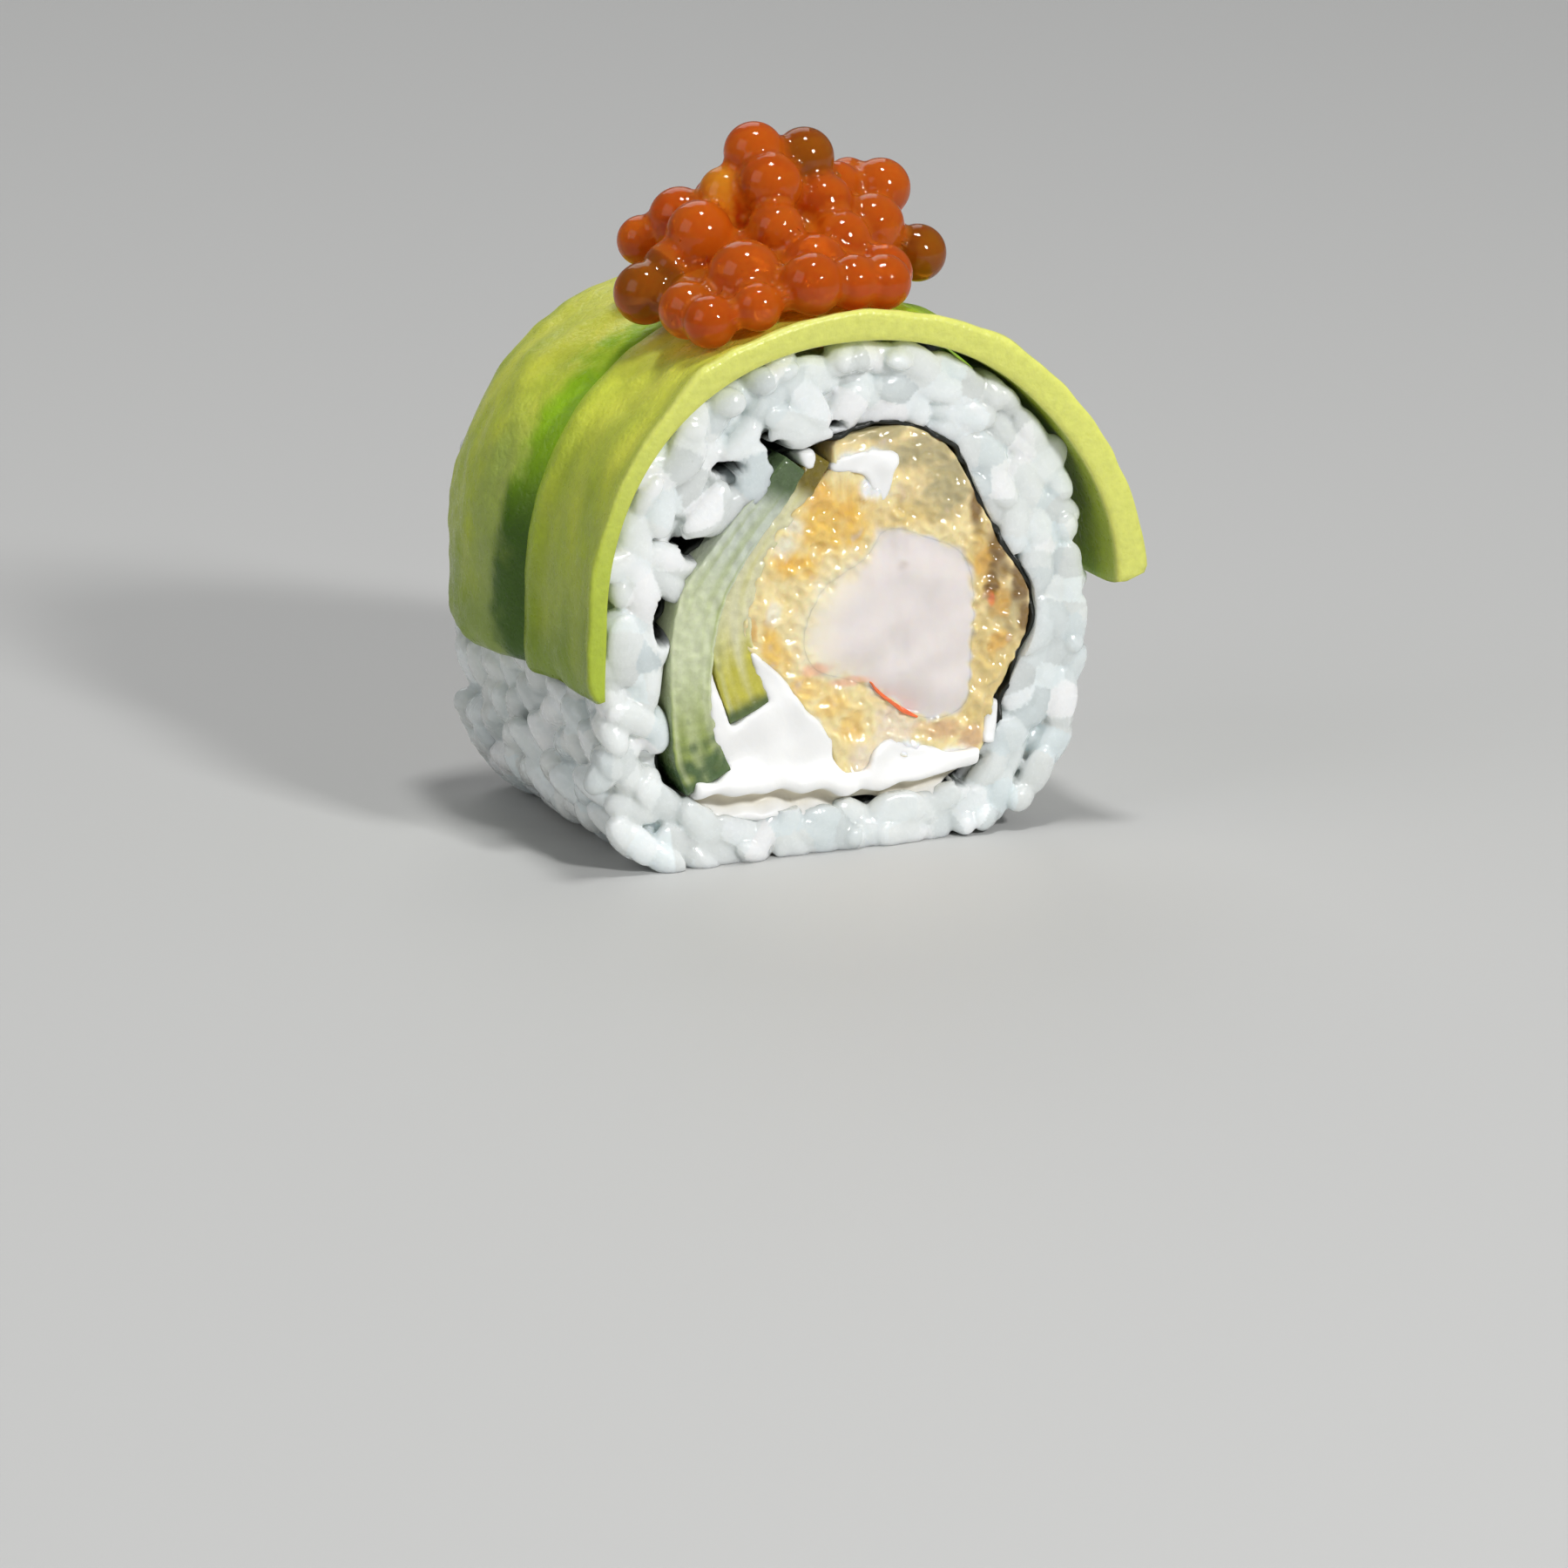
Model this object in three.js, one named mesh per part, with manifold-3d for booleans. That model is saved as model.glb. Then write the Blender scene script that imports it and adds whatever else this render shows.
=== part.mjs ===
// One cut piece of an inside-out sushi roll, lying on its side: rice round a sheet of nori, a
// filling of battered shrimp, cream cheese and cucumber, two slices of avocado draped over the
// top and a heap of salmon roe. Millimetres, +Z up. The roll's axis runs along Y, its front cut
// faces -Y, and the origin is the middle of the flat underside.

import * as THREE from "three";
import { mergeVertices } from "three/addons/utils/BufferGeometryUtils.js";
import Module from "manifold-3d";

const wasm = await Module();
wasm.setup();

// Driving dimensions
const ROLL_LENGTH = 34; // between the two cuts, grain tip to grain tip
const ROLL_HALF_HEIGHT = 23.5; // the axis lies this high above the underside
const ROLL_HALF_WIDTH = { left: 23.4, right: 23.6 };
const ROUNDNESS = { top: 2.15, lowerLeft: 6, lowerRight: 3.8 }; // 2 is round, more is squarer
const LEFT_SAG = 1; // the left side spreads by this much towards its lower corner
const BASE_TRIM = 0.6; // pressed off the underside, which makes it flat

const GRAIN = { length: 5.8, width: 2.7, thickness: 2.3, shortest: 0.85, longest: 1.1 };
const GRAIN_PROUD = 1.2; // how far the grains stand out of the core
const FACE_GRAINS = 48; // on each cut
const RIGHT_GRAINS = 34;
const LEFT_GRAINS = 22;
const BASE_CORNER = { left: -138, right: 136 }; // degrees from the top, where the underside begins

const NORI_THICKNESS = 0.4;
const GAP = 0.2; // between neighbouring pieces

// How far each filling stands out of the two cuts
const PROUD = { nori: -0.5, cucumber: 0, batter: -0.2, shrimp: 0.3, cream: 0.4 };

// Avocado slices, front to back along Y; their ends are angles from the top, in degrees
const SLICE_END = { left: -105, right: 90.5 };
const END_ROUNDING = 1.2; // degrees by which a slice's ends are rounded back at their corners
const FRONT_SLICE = { from: -18, to: -1.4, thickness: 2.7, leftThickness: 1.5, forward: 1.7 };
const BACK_SLICE = { from: -3, to: 17.2, thickness: 1.7, leftThickness: 2.8, forward: 1.2 };
const THIN_LEFT_OF = -75; // degrees, where the slices have thinned to their left thickness
const SLICE_LIFT = { from: -6, height: 0.6 }; // the front slice's hind edge climbs onto the back one
const RIGHT_FREE = { from: 45, standoff: 1.5 }; // the right ends hang free of the rice
const FORWARD_FROM = 15; // degrees, right of which the slices slant forward

const ROE_SWELL = 1.05; // makes up for the flat facets, which lie inside the true ball

// Outlines on the cut, in millimetres right of the axis and above the underside
const NORI_LINE = [
  [-5.4, 36.8], [-1.5, 37.8], [3, 38.7], [7.5, 37.8], [10.9, 35.2], [12.7, 31.2], [15.4, 26.4],
  [17.9, 22.8], [18, 18.8], [15.5, 13.2], [14.6, 9.2], [12, 5.4], [6, 4], [-3, 3.6], [-12, 4],
  [-16.6, 7], [-17.6, 12.5], [-17.6, 20], [-15.8, 26.4], [-12.4, 29.9], [-9.4, 33.3],
];
const BATTER_LINE = [
  [-5, 32], [-2.5, 34.4], [0.4, 34.5], [1.9, 32.6], [3.5, 31.6], [5.2, 33.6], [2.8, 35.6],
  [-1.2, 35.8], [-1.8, 39], [6, 40.4], [13, 36], [14.8, 30], [20, 24], [19, 17], [15, 12.6],
  [13.6, 10], [13.2, 7.6], [10.2, 6.4], [7.6, 8], [4, 8.4], [2, 5.9], [-0.6, 6.3], [-2, 10],
  [-4.5, 13.6], [-6.8, 17], [-9.4, 19.2], [-9.8, 21.6], [-8, 25.8], [-6.6, 29.5],
];
const SHRIMP_LINE = [
  [1.6, 26.6], [4, 29], [8, 27.8], [11.2, 26], [12.3, 22], [12, 16.5], [11.6, 12.4], [9, 11.2],
  [6, 12.2], [3.4, 14], [0.5, 15.5], [-3.6, 17.2], [-4.9, 20], [-2.6, 24.4],
];
// A cucumber slab follows its middle line, [right, above, width]
const CUCUMBER_OUTER_LINE = [
  [-13.4, 7.2, 4], [-14.8, 11, 4.2], [-15.4, 16, 3.8], [-15.1, 21, 4.2], [-13.4, 25.4, 4],
  [-10.4, 29.2, 3.6], [-7.4, 32.4, 3.2], [-5.2, 35.9, 2.6],
];
const CUCUMBER_INNER_LINE = [
  [-9.3, 13.4, 4.2], [-10.6, 17.4, 3.6], [-11.2, 21.2, 3], [-10.2, 25, 2.8], [-8.4, 28.2, 2.2],
  [-6.2, 31, 1.8], [-4, 33.8, 1.9], [-2.3, 36.4, 2],
];
// Roe, [right, back from the middle, above the underside, diameter]
const ROE = [
  [-13.5, -3, 49.2, 5.4], [-12.4, -10, 49, 5], [-11.8, -13.5, 48.6, 4.6], [-7.1, -10.5, 51.6, 6.4],
  [-7.9, -15, 49.4, 4.2], [-2.7, -15, 51.3, 5.4], [1.4, -14.7, 51, 4.8], [4.4, -14.6, 50.6, 4.8],
  [7, -9, 50.4, 5], [-5, -4, 51.4, 5.6], [0, -9.5, 51.8, 5.6], [0, 0, 51.6, 6], [6, 1, 51.4, 6],
  [11.5, 0.5, 50.4, 5.4], [-4, 6, 51.6, 5.6], [2, 7, 51.6, 5.6], [8, 7, 51, 5.4], [13.1, -3, 50.5, 5],
  [-2.1, -6, 54.6, 4.8], [4.2, -6, 53, 5.2], [8.6, -3, 53.4, 5.6], [-8.2, -3, 54.1, 5.8],
  [-7.5, 3, 54.3, 5.4], [-10.3, 5, 52.1, 4.4], [4, -2.5, 55.6, 5.4], [-1.4, -3, 58, 5.6],
  [-4.4, 0, 56.9, 4.6], [7.2, 1.5, 56.4, 4], [9.2, 3.5, 56.2, 4], [11.5, 1.5, 55.7, 5.2],
  [1, 4, 55.5, 5.4], [6, 5, 54.5, 5.2], [-3, 4, 55, 5.2], [-1.6, 0, 60.4, 5.2], [3.3, 0, 59.5, 5.2],
];
const ROE_CORE = { centre: [-1, -3, 51.6], size: [12, 11.5, 1.8] };

const DEGREE = Math.PI / 180;
const BEYOND = 4; // how far a cutter runs past what it cuts
const TABLE = 80; // side of the block that trims the underside flat

// A repeatable draw between two numbers
let seed = 20;
function draw(low, high) {
  seed = (seed * 1664525 + 1013904223) % 4294967296;
  return low + ((high - low) * seed) / 4294967296;
}

// Value at t of a table of [t, value] pairs, eased between them
function ramp(pairs, t) {
  const next = pairs.findIndex(([at]) => at >= t);
  if (next <= 0) {
    return next === 0 ? pairs[0][1] : pairs.at(-1)[1];
  }
  const [from, low] = pairs[next - 1];
  const [to, high] = pairs[next];
  return low + (high - low) * THREE.MathUtils.smoothstep(t, from, to);
}

// Closed three.js geometry to a solid that can be joined and cut, and back
function solidOf(geometry) {
  const bare = geometry.clone();
  bare.deleteAttribute("normal");
  bare.deleteAttribute("uv");
  const welded = mergeVertices(bare, 1e-4);
  const vertProperties = new Float32Array(welded.attributes.position.array);
  const triVerts = new Uint32Array(welded.index.array);
  return new wasm.Manifold(new wasm.Mesh({ numProp: 3, vertProperties, triVerts }));
}

function geometryOf(solid) {
  const { vertProperties, triVerts } = solid.getMesh();
  const geometry = new THREE.BufferGeometry();
  geometry.setAttribute("position", new THREE.BufferAttribute(vertProperties, 3));
  geometry.setIndex(new THREE.BufferAttribute(triVerts, 1));
  geometry.computeVertexNormals();
  return geometry;
}

// The bodies of a solid, largest first: what fusing shut in or left loose comes last
function bodiesOf(solid) {
  return solid.decompose().sort((a, b) => b.volume() - a.volume());
}

function piece(name, geometry, color, roughness) {
  const material = new THREE.MeshStandardMaterial({ color, roughness, metalness: 0 });
  const mesh = new THREE.Mesh(geometry, material);
  mesh.name = name;
  return mesh;
}

// Smooth closed outline through hand-set points, in even steps
function smoothOutline(points, step = 1.5) {
  const knots = points.map(([x, z]) => new THREE.Vector3(x, z, 0));
  const curve = new THREE.CatmullRomCurve3(knots, true);
  const count = Math.round(curve.getLength() / step);
  return curve.getSpacedPoints(count).slice(0, count).map((p) => new THREE.Vector2(p.x, p.y));
}

// Outline of a strip along a middle line of [x, z, width], with square ends
function stripOutline(line, step = 1.5) {
  const curve = new THREE.CatmullRomCurve3(line.map(([x, z, width]) => new THREE.Vector3(x, z, width)));
  const middle = new THREE.CatmullRomCurve3(line.map(([x, z]) => new THREE.Vector3(x, z, 0)));
  const count = Math.round(middle.getLength() / step);
  const sides = [1, -1].map((side) =>
    Array.from({ length: count + 1 }, (_, i) => {
      const { x, y, z: width } = curve.getPoint(i / count);
      const along = middle.getTangent(i / count);
      return new THREE.Vector2(x - along.y * side * width / 2, y + along.x * side * width / 2);
    }),
  );
  return [...sides[0], ...sides[1].reverse()];
}

// An outline moved outwards by a distance, inwards if it is negative
function grown(outline, distance) {
  const turn = Math.sign(THREE.ShapeUtils.area(outline));
  const count = outline.length;
  return outline.map((point, i) => {
    const before = point.clone().sub(outline[(i + count - 1) % count]).normalize();
    const after = outline[(i + 1) % count].clone().sub(point).normalize();
    const along = before.add(after).normalize();
    return new THREE.Vector2(point.x + along.y * distance * turn, point.y - along.x * distance * turn);
  });
}

// An outline of the cut, carried along the roll's axis
function prism(outline, length) {
  const extrusion = { depth: length, bevelEnabled: false };
  const geometry = new THREE.ExtrudeGeometry(new THREE.Shape(outline), extrusion);
  return geometry.rotateX(Math.PI / 2).translate(0, length / 2, 0);
}

// Prisms for the outline of a filling: its own length, and one that cuts its room out of others
function filling(outline, proud) {
  return {
    body: solidOf(prism(outline, ROLL_LENGTH + 2 * proud)),
    room: solidOf(prism(grown(outline, GAP), ROLL_LENGTH + BEYOND)),
  };
}

// Outer edge of the rice in polar form round the axis, angle 0 upwards and positive to the right
function riceRadius(angle) {
  const across = Math.sin(angle);
  const up = Math.cos(angle);
  const lower = across < 0 ? ROUNDNESS.lowerLeft : ROUNDNESS.lowerRight;
  const power = up > 0 ? ROUNDNESS.top : lower;
  const left = ROLL_HALF_WIDTH.left + LEFT_SAG * Math.max(0, -up);
  const halfWidth = across < 0 ? left : ROLL_HALF_WIDTH.right;
  const sum = Math.abs(across / halfWidth) ** power + Math.abs(up / ROLL_HALF_HEIGHT) ** power;
  return sum ** (-1 / power);
}

function polar(angle, radius, y) {
  return new THREE.Vector3(
    radius * Math.sin(angle), y, ROLL_HALF_HEIGHT - BASE_TRIM + radius * Math.cos(angle),
  );
}

// The nori and what it wraps
const noriMiddle = smoothOutline(NORI_LINE, 2);
const noriOutside = grown(noriMiddle, NORI_THICKNESS / 2);
const noriInside = grown(noriMiddle, -NORI_THICKNESS / 2);

function noriSheet() {
  const length = ROLL_LENGTH + 2 * PROUD.nori;
  const hollow = solidOf(prism(noriInside, length + BEYOND));
  return solidOf(prism(noriOutside, length)).subtract(hollow);
}

function fillings() {
  const inside = grown(noriInside, -GAP);
  const hold = solidOf(prism(inside, ROLL_LENGTH + BEYOND));
  const outer = filling(stripOutline(CUCUMBER_OUTER_LINE), PROUD.cucumber);
  const inner = filling(stripOutline(CUCUMBER_INNER_LINE), PROUD.cucumber);
  const batter = filling(smoothOutline(BATTER_LINE), PROUD.batter);
  const shrimp = filling(smoothOutline(SHRIMP_LINE), PROUD.shrimp);
  const cream = solidOf(prism(inside, ROLL_LENGTH + 2 * PROUD.cream));
  const creamBodies = bodiesOf(cream.subtract(outer.room).subtract(inner.room).subtract(batter.room));
  return {
    cucumberOuter: bodiesOf(outer.body.intersect(hold))[0],
    cucumberInner: bodiesOf(inner.body.intersect(hold).subtract(outer.room))[0],
    batter: bodiesOf(
      batter.body.intersect(hold).subtract(outer.room).subtract(inner.room).subtract(shrimp.room),
    )[0],
    shrimp: shrimp.body,
    creamBelow: creamBodies[0],
    creamPocket: creamBodies[1],
  };
}

// Rice: a ring of packed core with grains fused on wherever it shows. The core comes all the way
// out where there are none, under the avocado and on the underside
function coreInset(angle) {
  const { left, right } = BASE_CORNER;
  const insets = [
    [left - 6, 0], [left + 2, GRAIN_PROUD], [SLICE_END.left - 2, GRAIN_PROUD], [SLICE_END.left + 4, 0],
    [RIGHT_FREE.from, 0], [RIGHT_FREE.from + 12, GRAIN_PROUD], [right - 2, GRAIN_PROUD], [right + 6, 0],
  ];
  return ramp(insets, angle / DEGREE);
}

function riceCore() {
  const steps = 96;
  const outline = Array.from({ length: steps }, (_, i) => {
    const angle = (i / steps) * 2 * Math.PI - Math.PI;
    const { x, z } = polar(angle, riceRadius(angle) - coreInset(angle), 0);
    return new THREE.Vector2(x, z);
  });
  return solidOf(prism(outline, ROLL_LENGTH - 2 * GRAIN_PROUD));
}

// Distance from the axis to the nori's outside at an angle
function noriRadius(angle) {
  const facing = (point) => {
    const away = Math.atan2(point.x, point.y - ROLL_HALF_HEIGHT + BASE_TRIM) - angle;
    return Math.abs(Math.atan2(Math.sin(away), Math.cos(away)));
  };
  const nearest = noriOutside.reduce((best, point) => (facing(point) < facing(best) ? point : best));
  return Math.hypot(nearest.x, nearest.y - ROLL_HALF_HEIGHT + BASE_TRIM);
}

// Where a grain may lie: a spot, the way out of the rice there, and a way along the surface
function spotOnFace(side) {
  const angle = draw(-Math.PI, Math.PI);
  const swing = draw(-60, 60) * DEGREE;
  const reach = Math.hypot(GRAIN.length * Math.sin(swing), GRAIN.width * Math.cos(swing)) / 2;
  const low = noriRadius(angle) + GRAIN.width / 2;
  const high = riceRadius(angle) - GRAIN.longest * reach;
  const centre = polar(angle, draw(low, high), side * (ROLL_LENGTH - GRAIN.thickness) / 2);
  const out = new THREE.Vector3(0, side, 0);
  return { centre, out, along: new THREE.Vector3(Math.cos(angle + swing), 0, -Math.sin(angle + swing)) };
}

function spotOnSide(from, to) {
  const angle = draw(from, to) * DEGREE;
  const halfRun = (ROLL_LENGTH - GRAIN.length) / 2;
  const centre = polar(angle, riceRadius(angle) - GRAIN.thickness / 2, draw(-halfRun, halfRun));
  const out = new THREE.Vector3(Math.sin(angle), 0, Math.cos(angle));
  const round = new THREE.Vector3(Math.cos(angle), 0, -Math.sin(angle));
  const swing = draw(0, Math.PI);
  const along = round.multiplyScalar(Math.cos(swing)).add(new THREE.Vector3(0, Math.sin(swing), 0));
  return { centre, out, along };
}

// Evenly spread spots: each is the one of several draws that lies farthest from those before it
function spread(count, drawSpot) {
  const spots = [];
  const clearance = (spot) => Math.min(...spots.map((other) => other.centre.distanceTo(spot.centre)));
  for (let i = 0; i < count; i += 1) {
    const choices = Array.from({ length: 14 }, drawSpot);
    spots.push(choices.reduce((best, spot) => (clearance(spot) > clearance(best) ? spot : best)));
  }
  return spots;
}

// A grain: six-sided, blunt at both ends
const GRAIN_PROFILE = [[0, -0.5], [0.48, -0.26], [0.48, 0.26], [0, 0.5]];

function grain({ centre, out, along }) {
  const profile = GRAIN_PROFILE.map(([radius, height]) => new THREE.Vector2(radius, height));
  const geometry = new THREE.LatheGeometry(profile, 6);
  const size = draw(GRAIN.shortest, GRAIN.longest);
  geometry.scale(GRAIN.width, GRAIN.length * size, GRAIN.thickness);
  const across = new THREE.Vector3().crossVectors(along, out);
  geometry.applyMatrix4(new THREE.Matrix4().makeBasis(across, along, out));
  return solidOf(geometry.translate(centre.x, centre.y, centre.z));
}

function rice() {
  const spots = [
    ...spread(FACE_GRAINS, () => spotOnFace(-1)),
    ...spread(FACE_GRAINS, () => spotOnFace(1)),
    ...spread(RIGHT_GRAINS, () => spotOnSide(RIGHT_FREE.from + 15, BASE_CORNER.right)),
    ...spread(LEFT_GRAINS, () => spotOnSide(BASE_CORNER.left, SLICE_END.left - END_ROUNDING - 8)),
  ];
  const tunnel = solidOf(prism(grown(noriOutside, GAP), ROLL_LENGTH + BEYOND));
  const below = new THREE.BoxGeometry(TABLE, TABLE, TABLE).translate(0, 0, -TABLE / 2);
  const fused = spots.reduce((whole, spot) => whole.add(grain(spot)), riceCore());
  return bodiesOf(fused.subtract(tunnel).subtract(solidOf(below)))[0];
}

// Avocado slices: a section, [across, height], carried over the roll from its left to its right
const FRONT_SECTION = [
  [0, 0.92], [0.05, 1], [0.16, 0.76], [0.4, 0.68], [0.7, 0.62], [0.92, 0.46], [1, 0.22],
];
const BACK_SECTION = [
  [0, 0.08], [0.09, 0.17], [0.24, 0.68], [0.45, 1], [0.65, 0.95], [0.85, 0.7], [1, 0.2],
];

function sliceThickness({ thickness, leftThickness }, angle) {
  return ramp([[THIN_LEFT_OF, leftThickness], [0, thickness]], angle / DEGREE);
}

function sliceLift(slice, y) {
  const climbed = THREE.MathUtils.smoothstep(y, SLICE_LIFT.from, BACK_SLICE.from);
  return slice === FRONT_SLICE ? SLICE_LIFT.height * climbed : 0;
}

function sliceUnderside(slice, angle, y) {
  const free = THREE.MathUtils.smoothstep(angle / DEGREE, RIGHT_FREE.from, SLICE_END.right);
  return riceRadius(angle) + GAP + RIGHT_FREE.standoff * free + sliceLift(slice, y);
}

function avocadoSlice(slice, section) {
  const stations = 24;
  const corners = section.map(([v]) => v);
  const ring = [
    ...section.map(([v, height]) => ({ v, height })),
    ...corners.reverse().map((v) => ({ v, height: 0 })),
  ];
  const vertices = [];
  for (let i = 0; i <= stations; i += 1) {
    for (const { v, height } of ring) {
      const longer = END_ROUNDING * (1 - (2 * v - 1) ** 6);
      const run = THREE.MathUtils.lerp(SLICE_END.left - longer, SLICE_END.right + longer, i / stations);
      const angle = run * DEGREE;
      const y = THREE.MathUtils.lerp(slice.from, slice.to, v);
      const radius = sliceUnderside(slice, angle, y) + height * sliceThickness(slice, angle);
      const swing = slice.forward * THREE.MathUtils.smoothstep(run, FORWARD_FROM, SLICE_END.right);
      vertices.push(polar(angle, radius, y - swing));
    }
  }
  return tubeOf(vertices, ring.length);
}

// Closed body through rings of points, one after another, with its two ends capped
function tubeOf(vertices, ringSize) {
  const faces = [];
  const rings = vertices.length / ringSize;
  for (let i = 0; i < rings - 1; i += 1) {
    for (let j = 0; j < ringSize; j += 1) {
      const [a, b] = [i * ringSize + j, i * ringSize + ((j + 1) % ringSize)];
      const [c, d] = [a + ringSize, b + ringSize];
      faces.push(a, d, b, a, c, d);
    }
  }
  const half = ringSize / 2;
  const last = vertices.length - ringSize;
  for (let j = 0; j < half - 1; j += 1) {
    const [a, b, c, d] = [j, j + 1, ringSize - 2 - j, ringSize - 1 - j];
    faces.push(a, b, c, a, c, d);
    faces.push(last + a, last + c, last + b, last + a, last + d, last + c);
  }
  const geometry = new THREE.BufferGeometry().setFromPoints(vertices);
  geometry.setIndex(faces);
  geometry.computeVertexNormals();
  return geometry;
}

// Roe: a heap of eggs that press into each other, the lowest ones resting on the avocado
function coverRadius(angle, y) {
  const slice = y < FRONT_SLICE.to ? FRONT_SLICE : BACK_SLICE;
  const section = slice === FRONT_SLICE ? FRONT_SECTION : BACK_SECTION;
  const height = ramp(section, (y - slice.from) / (slice.to - slice.from));
  return sliceUnderside(slice, angle, y) + height * sliceThickness(slice, angle);
}

// Height of an egg's centre where some point under it just clears the avocado
function restingHeight(x, y, radius) {
  const angle = Math.asin(x / (ROLL_HALF_HEIGHT + FRONT_SLICE.thickness + radius));
  const steps = [-0.9, -0.6, -0.3, 0, 0.3, 0.6, 0.9];
  const below = (step) => radius * Math.sqrt(1 - step * step);
  const reaches = steps.map((step) => coverRadius(angle, y + step * radius) + below(step));
  return ROLL_HALF_HEIGHT - BASE_TRIM + Math.sqrt((Math.max(...reaches) + GAP) ** 2 - x * x);
}

function roeHeap() {
  const core = new THREE.IcosahedronGeometry(1, 1).scale(...ROE_CORE.size).translate(...ROE_CORE.centre);
  const { position } = core.attributes;
  for (let i = 0; i < position.count; i += 1) {
    const sag = position.getX(i) ** 2 / (2 * ROLL_HALF_HEIGHT);
    position.setZ(i, position.getZ(i) - sag);
  }
  const fused = ROE.reduce((whole, [x, y, z, diameter]) => {
    const radius = diameter / 2;
    const height = Math.max(z, restingHeight(x, y, radius));
    const egg = new THREE.SphereGeometry(radius * ROE_SWELL, 7, 5).rotateZ(x).translate(x, y, height);
    return whole.add(solidOf(egg));
  }, solidOf(core));
  return bodiesOf(fused)[0];
}

const fill = fillings();
const roll = new THREE.Group();
roll.add(
  piece("rice", geometryOf(rice()), 0xe9e6d8, 0.55),
  piece("nori", geometryOf(noriSheet()), 0x171b14, 0.7),
  piece("cucumber_outer", geometryOf(fill.cucumberOuter), 0xb9c98f, 0.35),
  piece("cucumber_inner", geometryOf(fill.cucumberInner), 0xb4c27c, 0.35),
  piece("tempura_batter", geometryOf(fill.batter), 0xd6a74e, 0.5),
  piece("shrimp", geometryOf(fill.shrimp), 0xeec9a8, 0.35),
  piece("cream_cheese", geometryOf(fill.creamBelow), 0xf3efe4, 0.45),
  piece("cream_cheese_pocket", geometryOf(fill.creamPocket), 0xf3efe4, 0.45),
  piece("avocado_front", avocadoSlice(FRONT_SLICE, FRONT_SECTION), 0xa9ae3c, 0.45),
  piece("avocado_back", avocadoSlice(BACK_SLICE, BACK_SECTION), 0x9aa83a, 0.45),
  piece("roe", geometryOf(roeHeap()), 0xe0641c, 0.12),
);

export default roll;
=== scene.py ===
import bmesh
import bpy
import numpy as np
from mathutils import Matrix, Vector


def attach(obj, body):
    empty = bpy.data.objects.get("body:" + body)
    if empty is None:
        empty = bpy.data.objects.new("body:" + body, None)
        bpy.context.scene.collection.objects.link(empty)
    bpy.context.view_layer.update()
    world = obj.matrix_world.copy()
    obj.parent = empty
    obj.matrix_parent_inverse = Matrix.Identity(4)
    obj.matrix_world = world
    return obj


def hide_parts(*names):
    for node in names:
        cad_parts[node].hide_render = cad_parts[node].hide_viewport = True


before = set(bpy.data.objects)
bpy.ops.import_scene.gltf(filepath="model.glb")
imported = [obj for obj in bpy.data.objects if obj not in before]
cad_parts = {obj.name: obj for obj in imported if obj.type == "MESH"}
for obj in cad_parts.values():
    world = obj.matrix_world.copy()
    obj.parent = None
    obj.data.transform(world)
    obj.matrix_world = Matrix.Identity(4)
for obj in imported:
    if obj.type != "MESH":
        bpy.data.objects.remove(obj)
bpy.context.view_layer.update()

# Rice: short-grain rice, boiled, seasoned, pressed round the nori with a bamboo mat and cut with a knife.
# Plump grains cover a packed core, flat against the mat outside and mostly along the nori on the two cuts,
# and stick together by their own starch. Beside the nori a few holes look in on the sheet.
MM = 0.001
HALF_LENGTH = 17
AXIS_HEIGHT = 22.9
RICE_HALF_HEIGHT = 23.5
RICE_WHITE = (0.88, 0.91, 0.89)
NORI_BLACK = (0.012, 0.014, 0.010)
NORI_LINE = [
    (-5.4, 36.8), (-1.5, 37.8), (3, 38.7), (7.5, 37.8), (10.9, 35.2), (12.7, 31.2), (15.4, 26.4),
    (17.9, 22.8), (18, 18.8), (15.5, 13.2), (14.6, 9.2), (12, 5.4), (6, 4), (-3, 3.6), (-12, 4),
    (-16.6, 7), (-17.6, 12.5), (-17.6, 20), (-15.8, 26.4), (-12.4, 29.9), (-9.4, 33.3),
]
RICE_HOLES = [
    (-6.6, 36.9, 1.1, 1.3), (-11.2, 35.9, 1.5, 0.7), (-14.2, 28.9, 1.6, 1.2), (-17.7, 22.6, 1.0, 2.3),
    (-0.9, 38.9, 0.9, 0.4), (11.4, 5.0, 0.8, 0.5),
]


def ease(low, high, value):
    """Smooth step: 0 below low, 1 above high and 3t^2 - 2t^3 between them."""
    t = np.clip((value - low) / (high - low), 0, 1)
    return t * t * (3 - 2 * t)


def wander(points, size, seed):
    """A smooth random field of about unit height: a sum of 32 plane waves, with directions, phases and
    lengths round size drawn from the seed."""
    rng = np.random.default_rng(seed)
    ways = rng.normal(size=(32, points.shape[-1]))
    lengths = size * rng.uniform(0.7, 1.5, (32, 1))
    ways *= 2 * np.pi / (lengths * np.linalg.norm(ways, axis=1, keepdims=True))
    return np.cos(points @ ways.T + rng.uniform(0, 2 * np.pi, 32)).sum(-1) / 4


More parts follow.
